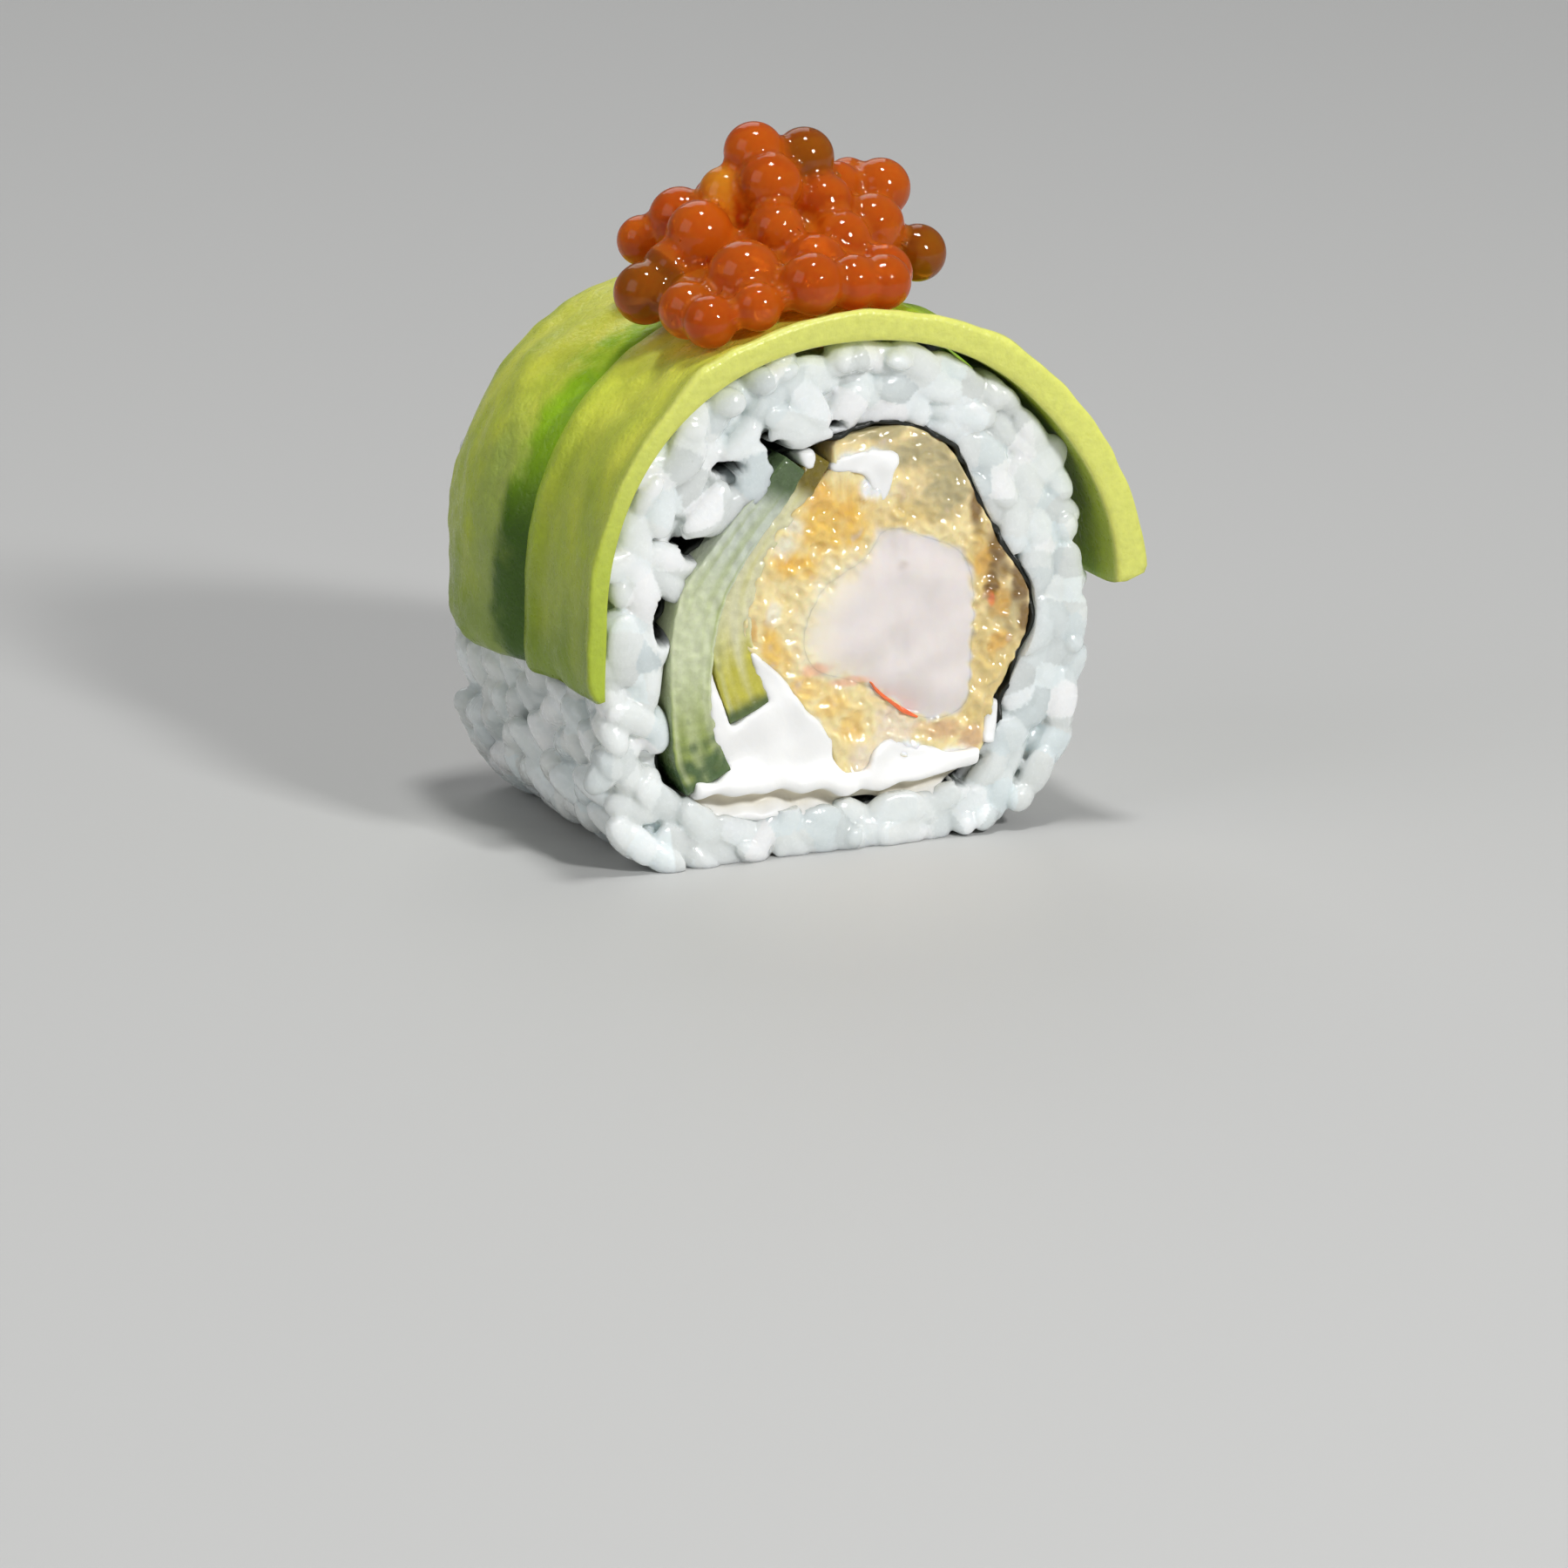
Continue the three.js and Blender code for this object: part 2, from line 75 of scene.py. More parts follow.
def curve(knots, count, closed=False):
    """A Catmull-Rom spline through the knots, at count points evenly spaced along it: between two knots it
    is the cubic whose slope at each is half the step between that knot's neighbours."""
    knots = np.asarray(knots, float)
    first = knots[-1:] if closed else 2 * knots[:1] - knots[1:2]
    last = knots[:2] if closed else 2 * knots[-1:] - knots[-2:-1]
    run = np.concatenate([first, knots, last])
    a, b, c, d = run[:-3, None], run[1:-2, None], run[2:-1, None], run[3:, None]
    t = np.linspace(0, 1, 24, endpoint=False)[None, :, None]
    bends = t * (c - a) / 2 + t**2 * (a - 2.5 * b + 2 * c - d / 2) + t**3 * (1.5 * (b - c) + (d - a) / 2)
    fine = np.concatenate([(b + bends).reshape(-1, knots.shape[1]), knots[:1] if closed else knots[-1:]])
    steps = np.linalg.norm(np.diff(fine[:, :2], axis=0), axis=1)
    along = np.concatenate([[0], np.cumsum(steps)])
    at = np.linspace(0, along[-1], count, endpoint=not closed)
    return np.stack([np.interp(at, along, column) for column in fine.T], 1)


def rice_edge(angle):
    """Distance from the roll's axis to the outside of the rice, angle 0 upwards and positive to the right:
    a superellipse, nearly round above and squarer below, where its left side also spreads a little."""
    across, up = np.sin(angle), np.cos(angle)
    power = np.where(up > 0, 2.15, np.where(across < 0, 6, 3.8))
    half_width = np.where(across < 0, 23.4 + np.maximum(0, -up), 23.6)
    total = np.abs(across / half_width) ** power + np.abs(up / RICE_HALF_HEIGHT) ** power
    return total ** (-1 / power)


nori_middle = curve(NORI_LINE, 360, closed=True)


def nori_edge(angle):
    """Distance from the roll's axis to the nori, read off its line by the bearing of each of its points."""
    bearing = np.arctan2(nori_middle[:, 0], nori_middle[:, 1] - AXIS_HEIGHT)
    distance = np.hypot(nori_middle[:, 0], nori_middle[:, 1] - AXIS_HEIGHT)
    return np.interp(angle, bearing, distance, period=2 * np.pi)


def on_cut(angle, radius):
    """The point of the cut, right of the axis and above the underside, at an angle and a distance."""
    return np.stack([radius * np.sin(angle), AXIS_HEIGHT + radius * np.cos(angle)], -1)


def spots(face, places):
    """1 at the middle of each place (x, z, half width, half height), falling off as a bell round it."""
    x, z, wide, high = np.asarray(places, float).T
    bells = ((face[..., 0, None] - x) / wide) ** 2 + ((face[..., 1, None] - z) / high) ** 2
    return np.exp(-bells).max(-1)


def cut_piece(inner, outer, proud, corner, relief, steps=24, kind="ring"):
    """A body cut through at both ends of the roll. On the cut it fills the room between an inner and an
    outer curve, walked together. Each cut face stands proud of the roll's length, is raised by relief(face)
    and rounded off within corner of its inner and outer edge, as a quarter circle. A ring closes round a
    hole, a disc is filled in the middle, and a strip has two ends."""
    t = 0.5 - 0.5 * np.cos(np.linspace(0, np.pi, steps))[:, None]
    face = inner + (outer - inner) * t[..., None]
    width = np.linalg.norm(outer - inner, axis=1)
    edges = [((1 - t) * width, corner[1])]
    if kind != "disc":
        edges.append((t * width, corner[0]))
    if kind == "strip":
        steps_along = np.linalg.norm(np.diff(inner + outer, axis=0), axis=1) / 2
        along = np.concatenate([[0], np.cumsum(steps_along)])
        edges.append((np.broadcast_to(np.minimum(along, along[-1] - along), face.shape[:2]), corner[1]))
    falls = [size * (1 - np.sqrt(1 - (1 - np.clip(way / size, 0, 1)) ** 2)) for way, size in edges]
    depth = HALF_LENGTH + proud + relief(face) - np.max(falls, axis=0)
    front = np.stack([face[..., 0], -depth, face[..., 1]], -1)
    return np.concatenate([front, front[::-1] * (1, -1, 1)])


def grid_faces(rows, columns, wrap_rows=True, wrap_columns=True):
    """Quads between neighbouring points of a grid; a direction that wraps joins its last line to its first,
    and one that doesn't is shut with a flat face at either end."""
    row = np.arange(rows if wrap_rows else rows - 1)[:, None]
    column = np.arange(columns if wrap_columns else columns - 1)
    below, right = (row + 1) % rows, (column + 1) % columns
    here, under = row * columns, below * columns
    corners = [here + column, here + right, under + right, under + column]
    faces = np.stack(np.broadcast_arrays(*corners), -1).reshape(-1, 4).tolist()
    if not wrap_rows:
        faces += [list(range(columns)), list(range((rows - 1) * columns, rows * columns))]
    if not wrap_columns:
        faces += [list(range(0, rows * columns, columns)), list(range(columns - 1, rows * columns, columns))]
    return faces


def add_piece(name, points, faces, finish, tint):
    """A smooth-shaded mesh object from points in millimetres, with its faces turned outwards. The attribute
    tint holds the colour at each point and, as its fourth part, the share of the finish's bumps that shows
    there."""
    mesh = bpy.data.meshes.new(name)
    mesh.from_pydata((np.reshape(points, (-1, 3)) * MM).tolist(), [], faces)
    shell = bmesh.new()
    shell.from_mesh(mesh)
    bmesh.ops.recalc_face_normals(shell, faces=shell.faces)
    shell.to_mesh(mesh)
    shell.free()
    mesh.shade_smooth()
    colours = np.ones((len(mesh.vertices), 4), np.float32)
    colours[:, :tint.shape[-1]] = np.reshape(tint, (-1, tint.shape[-1]))
    mesh.attributes.new("tint", "FLOAT_COLOR", "POINT").data.foreach_set("color", colours.ravel())
    mesh.materials.append(finish)
    piece = bpy.data.objects.new(name, mesh)
    bpy.context.collection.objects.link(piece)
    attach(piece, "root")
    return piece


def mix(colour, other, share):
    """The first colour, going over to the other as the share rises from 0 to 1."""
    share = np.asarray(share)[..., None]
    return np.asarray(colour) * (1 - share) + np.asarray(other) * share


def node(tree, kind, inputs, **settings):
    """A shader node with its settings, and with each named input linked to a socket or set to a value."""
    new = tree.nodes.new(kind)
    for key, value in settings.items():
        setattr(new, key, value)
    for key, value in inputs.items():
        if isinstance(value, bpy.types.NodeSocket):
            tree.links.new(value, new.inputs[key])
        else:
            new.inputs[key].default_value = value
    return new


def moist_food(name, mottle, bumps, gloss, sockets):
    """A moist food surface: the piece's tint, made lighter and darker in mottles of a size and a share, over
    bumps of a size and a height, with a roughness that varies between the two values of gloss."""
    material = bpy.data.materials.new(name)
    material.use_nodes = True
    tree = material.node_tree
    shader = tree.nodes["Principled BSDF"]
    for key, value in sockets.items():
        shader.inputs[key].default_value = value
    place = node(tree, "ShaderNodeTexCoord", {}).outputs["Object"]
    size, share = mottle
    clouds = node(tree, "ShaderNodeTexNoise", {"Vector": place, "Scale": 1 / (size * MM), "Detail": 3.0})
    level = node(tree, "ShaderNodeMapRange", {
        "Value": clouds.outputs["Fac"], "From Min": 0.3, "From Max": 0.7,
        "To Min": 1 - share, "To Max": 1 + share})
    tint = node(tree, "ShaderNodeAttribute", {}, attribute_name="tint")
    shade = node(tree, "ShaderNodeVectorMath", {
        "Vector": tint.outputs["Color"], "Scale": level.outputs["Result"]}, operation="SCALE")
    tree.links.new(shade.outputs["Vector"], shader.inputs["Base Color"])
    size, height = bumps
    pits = node(tree, "ShaderNodeTexNoise", {"Vector": place, "Scale": 1 / (size * MM), "Detail": 4.0})
    bump = node(tree, "ShaderNodeBump", {
        "Height": pits.outputs["Fac"], "Strength": tint.outputs["Alpha"], "Distance": height * MM})
    tree.links.new(bump.outputs["Normal"], shader.inputs["Normal"])
    tree.links.new(bump.outputs["Normal"], shader.inputs["Coat Normal"])
    dulled = node(tree, "ShaderNodeMapRange", {
        "Value": pits.outputs["Fac"], "From Min": 0.35, "From Max": 0.65,
        "To Min": gloss[0], "To Max": gloss[1]})
    tree.links.new(dulled.outputs["Result"], shader.inputs["Roughness"])
    return material


rice_finish = moist_food("cooked_rice", (1.6, 0.03), (0.5, 0.05), (0.14, 0.32), {
    "Subsurface Weight": 0.9, "Subsurface Radius": (1.0, 0.97, 0.92), "Subsurface Scale": 0.0016,
    "IOR": 1.38, "Coat Weight": 0.35, "Coat Roughness": 0.06})
around = np.linspace(-np.pi, np.pi, 300, endpoint=False)
CORE_INSET = 1.6
CORE_OFF_NORI = 0.35
CORE_PROUD = -1.75
core_inside = on_cut(around, nori_edge(around) + CORE_OFF_NORI)
core_outside = on_cut(around, rice_edge(around) - CORE_INSET)


def core_relief(face):
    """Low lumps, with the holes beside the nori sunk into them."""
    return 0.3 * wander(face, 3, 11) - 4.5 * spots(face, RICE_HOLES)


core = cut_piece(core_inside, core_outside, CORE_PROUD, (0.3, 1.2), core_relief)
GRAIN_LENGTH, GRAIN_WIDTH, GRAIN_DEPTH = 5.9, 3.1, 2.7
GRAIN_ROWS, GRAIN_COLUMNS = 13, 14
CHOICES = 14
RECESSES = [(-9.8, 42.2, 1.7, 1.2), (-1.2, 43.0, 0.6, 2.6), (-15.6, 33.0, 1.0, 1.4), (13.5, 38.5, 1.2, 1.0)]
rng = np.random.default_rng(4)


def spread(count, draw):
    """Evenly scattered places: each is the one of a few draws that lies farthest from those before it."""
    chosen = draw(1)
    for _ in range(count - 1):
        choices = draw(CHOICES)
        gaps = np.linalg.norm(choices[:, None, :3] - chosen[None, :, :3], axis=-1).min(1)
        chosen = np.concatenate([chosen, choices[[gaps.argmax()]]])
    return chosen


def draw_on_cut(side, nearest_nori, farthest, spin):
    """A way to draw places on one cut, within two distances of the nori, just below the surface and clear of
    the holes. The columns are the place, the way out of the rice and a way along the surface, which is along
    the nori but for a random spin."""

    def draw(count):
        angle = rng.uniform(-np.pi, np.pi, count * 3)
        low = nori_edge(angle) + nearest_nori
        high = np.minimum(rice_edge(angle) - 1.4, nori_edge(angle) + farthest)
        radius = np.sqrt(low**2 + (high**2 - low**2) * rng.uniform(0, 1, count * 3))
        face = on_cut(angle, radius)
        free = np.argsort(spots(face, RICE_HOLES) > 0.25, kind="stable")[:count]
        face = face[free]
        sink = 1.1 + 0.3 * wander(face, 7, 13) + 1.6 * spots(face, RECESSES) + rng.uniform(-0.5, 0.5, count)
        out = np.stack([rng.normal(0, 0.2, count), np.full(count, side * 1.0), rng.normal(0, 0.2, count)], 1)
        turn = angle[free] + rng.normal(0, spin, count)
        along = np.stack([np.cos(turn), rng.normal(0, 0.2, count), -np.sin(turn)], 1)
        place = np.stack([face[:, 0], side * (HALF_LENGTH - sink), face[:, 1]], 1)
        return np.concatenate([place, out, along], 1)

    return draw


def draw_on_side(first, last, near, far):
    """A way to draw places round the outside between two angles in degrees, at distances near to far from
    the middle of the roll's length. The columns are as on the cut."""

    def draw(count):
        angle = np.radians(rng.uniform(first, last, count))
        y = rng.uniform(near, far, count) * rng.choice([-1, 1], count)
        radius = rice_edge(angle) - GRAIN_DEPTH / 2 - rng.uniform(-0.1, 0.35, count)
        x, z = on_cut(angle, radius).T
        nothing = np.zeros(count)
        out = np.stack([np.sin(angle), rng.normal(0, 0.12, count), np.cos(angle)], 1)
        turn = rng.uniform(0, np.pi, count)
        level = np.stack([np.cos(angle), nothing, -np.sin(angle)], 1)
        along = level * np.cos(turn)[:, None] + np.stack([nothing, np.sin(turn), nothing], 1)
        return np.concatenate([np.stack([x, y, z], 1), out, along], 1)

    return draw


beds = np.concatenate([
    spread(86, draw_on_cut(-1, 1.6, 99, 0.8)), spread(28, draw_on_cut(-1, 0.7, 1.2, 0.7)),
    spread(86, draw_on_cut(1, 1.6, 99, 0.8)), spread(28, draw_on_cut(1, 0.7, 1.2, 0.7)),
    spread(110, draw_on_side(-185, -98, 0, 14)), spread(165, draw_on_side(46, 176, 0, 14)),
    spread(76, draw_on_side(-180, 180, 15.2, 15.8)),
])


def unit(vectors):
    """The vectors at length 1."""
    return vectors / np.linalg.norm(vectors, axis=-1, keepdims=True)


def grains(beds):
    """Blunt, slightly bent spindles: on each ring the radius is the sine of the way from tip to tip, raised
    to a power below 1, and the middle line bows sideways as a parabola."""
    count = len(beds)
    way = np.linspace(0, np.pi, GRAIN_ROWS)[:, None]
    turn = np.linspace(0, 2 * np.pi, GRAIN_COLUMNS, endpoint=False)
    thick = np.sin(way) ** 0.78
    ring = np.stack(np.broadcast_arrays(thick * np.cos(turn), -np.cos(way), thick * np.sin(turn)), -1)
    size = np.array([GRAIN_WIDTH, GRAIN_LENGTH, GRAIN_DEPTH]) / 2
    sizes = size * rng.normal(1, (0.08, 0.11, 0.08), (count, 3))
    local = ring[None] * sizes[:, None, None]
    bow = rng.normal(0, 0.28, (count, 1, 1))
    local[..., 0] += bow * (1 - ring[None, ..., 1] ** 2)
    out = unit(beds[:, 3:6])
    along = unit(beds[:, 6:9] - out * (beds[:, 6:9] * out).sum(1, keepdims=True) * 0.8)
    across = unit(np.cross(along, out))
    out = np.cross(across, along)
    frame_of = np.stack([across, along, out], 1)
    return beds[:, None, None, :3] + local @ frame_of[:, None]


def blob_faces(count, rows, columns):
    """Faces of closed blobs, each a grid of rings whose first and last ring are drawn together to a tip."""
    one = grid_faces(rows, columns, wrap_rows=False)[:-2]
    each = np.arange(count)[:, None, None] * rows * columns
    return (np.array(one)[None] + each).reshape(-1, 4).tolist()


def fused(bodies, voxel, rounds, kept):
    """One skin round bodies that overlap: it is rebuilt from cubes of a voxel's size and evened out, each
    point moving halfway to the mean of its neighbours for some rounds, so that bodies meet in a soft crease.
    Then edges on its flatter parts are drawn together until the kept share of the triangles is left."""
    mesh = bpy.data.meshes.new("bodies")
    corners = np.concatenate([np.reshape(points, (-1, 3)) for points, _ in bodies])
    faces, first = [], 0
    for points, own in bodies:
        faces += [[first + corner for corner in face] for face in own]
        first += np.size(points) // 3
    mesh.from_pydata((corners * MM).tolist(), [], faces)
    body = bpy.data.objects.new("bodies", mesh)
    bpy.context.collection.objects.link(body)
    cubes = body.modifiers.new("cubes", "REMESH")
    cubes.mode = "VOXEL"
    cubes.voxel_size = voxel * MM
    even = body.modifiers.new("even", "SMOOTH")
    even.factor = 0.5
    even.iterations = rounds
    fewer = body.modifiers.new("fewer", "DECIMATE")
    fewer.ratio = kept
    skin = body.evaluated_get(bpy.context.evaluated_depsgraph_get()).to_mesh()
    points = np.zeros(len(skin.vertices) * 3, np.float32)
    skin.vertices.foreach_get("co", points)
    skin.calc_loop_triangles()
    corners = np.zeros(len(skin.loop_triangles) * 3, np.int32)
    skin.loop_triangles.foreach_get("vertices", corners)
    bpy.data.objects.remove(body)
    bpy.data.meshes.remove(mesh)
    return points.reshape(-1, 3) / MM, corners.reshape(-1, 3).tolist()


def nearest(points, centres):
    """For each point, which of the centres is nearest: least is |c|^2 - 2 p.c."""
    parts = np.array_split(points, 40)
    return np.concatenate([((centres**2).sum(1) - 2 * part @ centres.T).argmin(1) for part in parts])


def nori_shows(angle):
    """1 where the nori's edge shows on the cut, from the top down the right side, and 0 where rice covers
    it."""
    return ease(-25, -10, np.degrees(angle)) * ease(140, 128, np.degrees(angle))


def pressed(points):
    """The mass as knife, nori and table leave it: what stands out past the cut is flattened to a half, the
    holes are sunk into it, what lies inside the nori moves out to it, though it still laps over the sheet's
    edge where that doesn't show, and nothing lies below the table."""
    x, y, z = points.T
    depth = np.abs(y)
    cut_at = HALF_LENGTH - 0.25 + 0.12 * wander(points[:, [0, 2]], 5, 14)
    depth = np.minimum(depth, cut_at + (depth - cut_at) / 2)
    depth = depth - 3.5 * ease(0.3, 0.7, spots(points[:, [0, 2]], RICE_HOLES)) * ease(10, 14, depth)
    angle = np.arctan2(x, z - AXIS_HEIGHT)
    radius = np.maximum(np.hypot(x, z - AXIS_HEIGHT), nori_edge(angle) - 0.8 + 0.95 * nori_shows(angle))
    x, z = on_cut(angle, radius).T
    return np.stack([x, np.sign(y) * depth, np.maximum(z, 0)], 1)


brightness = rng.uniform(0.80, 1.06, (len(beds), 1))
tones = brightness * mix((1, 1, 1), (0.92, 0.97, 1.0), rng.uniform(0, 1, len(beds)) ** 2)


def rice_part(name, here, first_y, last_y, voxel, kept):
    """One stretch of the roll: the grains that lie there, fused with their stretch of the core. Each point
    has the tone of the grain it is nearest to, and the holes beside the nori are painted black: the nori's
    own black, with painted shade deep in the holes."""
    own_core = core.copy()
    half = len(core) // 2
    own_core[:half, :, 1] = np.maximum(core[:half, :, 1], first_y)
    own_core[half:, :, 1] = np.minimum(core[half:, :, 1], last_y)
    bodies = [
        (own_core, grid_faces(*core.shape[:2])),
        (grains(beds[here]), blob_faces(here.sum(), GRAIN_ROWS, GRAIN_COLUMNS))]
    points, faces = fused(bodies, voxel, 1, kept)
    points = pressed(points)
    tint = np.array(RICE_WHITE) * tones[here][nearest(points, beds[here, :3])]
    # Painted black in the holes: the nori's colour, and painted shade that deepens with the hole's depth.
    in_hole = ease(0.3, 0.6, spots(points[:, [0, 2]], RICE_HOLES)) * ease(16.3, 15.3, np.abs(points[:, 1]))
    part = add_piece(name, points, faces, rice_finish, mix(tint, NORI_BLACK, in_hole))
    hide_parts("rice")


MIDDLE_GRAINS = 12
MIDDLE_END, CUT_END, NO_END = 14.2, 13.6, 99
rice_part("rice_front", beds[:, 1] < -MIDDLE_GRAINS, -NO_END, -CUT_END, 0.19, 0.64)
rice_part("rice_middle", np.abs(beds[:, 1]) <= MIDDLE_GRAINS, -MIDDLE_END, MIDDLE_END, 0.28, 0.5)
rice_part("rice_back", beds[:, 1] > MIDDLE_GRAINS, CUT_END, NO_END, 0.22, 0.55)

# Nori: one sheet of pressed, roasted seaweed between the rice and the filling, rolled up with them. It is
# thin, damp and slightly crinkled, nearly black with a green cast.
NORI_THICKNESS = 0.42
nori_finish = moist_food("damp_nori", (1.5, 0.3), (0.5, 0.12), (0.3, 0.5), {"IOR": 1.45})


def grown(line, distance):
    """A closed line moved outwards along its normals, its points running clockwise."""
    step = np.roll(line, -1, 0) - np.roll(line, 1, 0)
    return line + distance * unit(np.stack([-step[:, 1], step[:, 0]], 1))


def nori_relief(face):
    """A slightly wavy edge that lies deep where rice covers it."""
    shows = nori_shows(np.arctan2(face[..., 0], face[..., 1] - AXIS_HEIGHT))
    return 0.2 * wander(face, 3, 22) - 2.4 * (1 - shows)


crinkle = 0.12 * wander(nori_middle, 2.5, 21)[:, None]
half_thick = NORI_THICKNESS / 2 + 0.25 * spots(nori_middle, [(14, 28.6, 3, 4.5)])[:, None]
nori = cut_piece(
    grown(nori_middle, crinkle - half_thick), grown(nori_middle, crinkle + half_thick), -0.35, (0.12, 0.12),
    nori_relief, steps=6)
nori_sheet = add_piece(
    "nori_sheet", nori, grid_faces(*nori.shape[:2]), nori_finish, np.full(nori.shape, NORI_BLACK))
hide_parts("nori")

# Cucumber: two slabs cut lengthwise from a cucumber, standing side by side at the left of the filling. The
# flesh is pale, wet and see-through; their ends are dark green where the skin was left on.
CUCUMBER_PALE = (0.64, 0.69, 0.46)
CUCUMBER_GREEN = (0.35, 0.42, 0.12)
CUCUMBER_SKIN = (0.06, 0.12, 0.045)
CUCUMBER_YELLOW = (0.58, 0.54, 0.08)
SLAB_ROWS, SLAB_COLUMNS = 22, 110
OUTER_SLAB = [
    (-13.4, 7.6, 4.6), (-14.6, 10.6, 4.6), (-15.2, 15, 3.9), (-15.0, 20, 4.2), (-14.2, 24, 4.3),
    (-12.1, 27.4, 3.6), (-9.5, 30.7, 3.2), (-7.0, 33.5, 3.0), (-5.1, 35.9, 2.3),
]
INNER_SLAB = [
    (-9.3, 13.5, 4.2), (-10.5, 17, 4.0), (-11.2, 20.6, 3.9), (-10.9, 24, 3.7), (-9.6, 27.2, 3.2),
    (-7.2, 30.6, 2.8), (-4.6, 33.2, 2.3), (-2.5, 36.2, 2.0),
]
cucumber_finish = moist_food("cut_cucumber", (0.8, 0.07), (0.5, 0.06), (0.12, 0.34), {
    "Subsurface Weight": 0.5, "Subsurface Radius": (0.9, 1.0, 0.6), "Subsurface Scale": 0.0006,
    "IOR": 1.36, "Coat Weight": 0.35, "Coat Roughness": 0.06})


def strip_sides(line, count):
    """The two sides of a strip along a middle line of (x, z, width)."""
    middle = curve(line, count)
    step = np.gradient(middle[:, :2], axis=0)
    aside = unit(np.stack([-step[:, 1], step[:, 0]], 1)) * middle[:, 2:] / 2
    return middle[:, :2] - aside, middle[:, :2] + aside


def slab(name, line, proud, colours):
    """A cucumber slab: a strip carried through the roll, with fine fibres in relief. Its colours follow from
    the place, the way along the slab and the way across it, each from 0 to 1."""
    points = cut_piece(
        *strip_sides(line, SLAB_COLUMNS), proud, (0.2, 0.2), lambda face: 0.06 * wander(face, 1.2, 31),
        steps=SLAB_ROWS, kind="strip")
    along = np.broadcast_to(np.linspace(0, 1, SLAB_COLUMNS), points.shape[:2])
    there_and_back = np.concatenate([np.linspace(0, 1, SLAB_ROWS), np.linspace(1, 0, SLAB_ROWS)])
    across = np.broadcast_to(there_and_back[:, None], along.shape)
    tint = colours(points[..., [0, 2]], along, across)
    return add_piece(
        name, points, grid_faces(*points.shape[:2], wrap_columns=False), cucumber_finish, tint)


def outer_colours(face, along, across):
    """Pale flesh with fine veins along it, whiter higher up and greener towards the foot, with dark skin at
    both ends and a thin dark line low down on the left."""
    veins = wander(np.stack([across * 5, along * 2], -1), 1, 33)
    tint = mix(CUCUMBER_PALE, (0.58, 0.63, 0.53), ease(0.5, 0.75, along))
    tint = mix(tint, CUCUMBER_GREEN, np.clip(0.85 * ease(0.45, 0.05, along) + 0.22 * veins, 0, 1))
    from_foot = along + 0.03 * wander(face, 1.5, 32) + 0.05 * across
    tint = mix(tint, CUCUMBER_SKIN, 0.9 * ease(0.21, 0.04, from_foot))
    tint = mix(tint, CUCUMBER_SKIN, 0.7 * ease(0.12, 0.03, 1 - across) * ease(0.3, 0.15, along))
    return mix(tint, (0.06, 0.11, 0.03), 0.92 * ease(0.84, 0.93, along + 0.04 * (across - 0.5)))


def inner_colours(face, along, across):
    """Pale flesh with a yellow cast and fine veins along it, a yellow-green foot with a dark rim, and an
    olive tip."""
    veins = wander(np.stack([across * 5, along * 2], -1), 1, 34)
    tint = mix((0.72, 0.70, 0.45), CUCUMBER_PALE, ease(0.55, 0.95, across))
    tint = mix(tint, CUCUMBER_YELLOW, np.clip(0.95 * ease(0.4, 0.08, along) + 0.22 * veins, 0, 1))
    tint = mix(tint, CUCUMBER_SKIN, 0.9 * ease(0.075, 0.02, along))
    return mix(tint, (0.17, 0.125, 0.003), 0.95 * ease(0.82, 0.9, along))


outer_slab = slab("cucumber_outer_slab", OUTER_SLAB, 0.05, outer_colours)
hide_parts("cucumber_outer")
inner_slab = slab("cucumber_inner_slab", INNER_SLAB, -0.15, inner_colours)
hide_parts("cucumber_inner")

# Tempura batter: a thick coat of crumbed batter, fried round the shrimp until golden. It is open and wet on
# the cut, browned along its right side and grey and glassy in the lobe above.
BATTER_PALE = (0.97, 0.78, 0.41)
BATTER_GOLD = (0.90, 0.60, 0.15)
BATTER_AMBER = (0.80, 0.44, 0.07)
BATTER_ORANGE = (0.98, 0.68, 0.25)
BATTER_ROSE = (0.96, 0.80, 0.60)
BATTER_HONEY = (0.78, 0.61, 0.26)
BATTER_GLASSY = (0.55, 0.47, 0.25)
BATTER_PAINTED_SHADE = (0.70, 0.45, 0.25)
BATTER_BROWN = (0.20, 0.10, 0.02)
BATTER_SMEARED = (0.96, 0.87, 0.68)
CREAM_WHITE = (0.97, 0.97, 0.95)
SHRIMP_WHITE = (0.82, 0.76, 0.735)
SHRIMP_VEIL = (0.95, 0.86, 0.72)
SHRIMP_ROSE = (0.98, 0.50, 0.33)
SHRIMP_RED = (0.95, 0.19, 0.06)
BATTER_LINE = [
    (-5, 31.8), (-3, 33.6), (-1.6, 35.2), (-1.2, 37.3), (1.5, 38.1), (6, 38.2), (9.8, 36), (11.8, 32.8),
    (13.3, 29.9), (15.5, 25.8), (17.6, 22.6), (17.7, 18.8), (15.5, 14.1), (14.4, 12), (14, 9.6),
    (12.8, 7.2), (10.2, 6.2),
    (7, 6.8), (4, 7.2), (2.2, 5.6), (-0.4, 5.8), (-1.6, 9.6), (-4.5, 13.6), (-6.8, 17), (-9.6, 19.2),
    (-10.2, 21.6), (-8.9, 25.8), (-7.3, 29.3),
]
SHRIMP_LINE = [
    (1.6, 26.6), (4, 29), (8, 27.8), (11.2, 26), (12.3, 22), (12, 16.5), (11.6, 12.4), (9, 11.2),
    (6, 12.0), (3.4, 14), (0.5, 15.5), (-3.2, 17.0), (-4.3, 20), (-2.6, 24.0),
]
SHRIMP_MIDDLE = np.array((5.2, 20.4))
FILLING_COLUMNS = 300
batter_finish = moist_food("fried_batter", (0.6, 0.05), (0.5, 0.05), (0.08, 0.26), {
    "Subsurface Weight": 0.6, "Subsurface Radius": (1.0, 0.75, 0.45), "Subsurface Scale": 0.0005,
    "IOR": 1.40, "Coat Weight": 1.0, "Coat Roughness": 0.05})


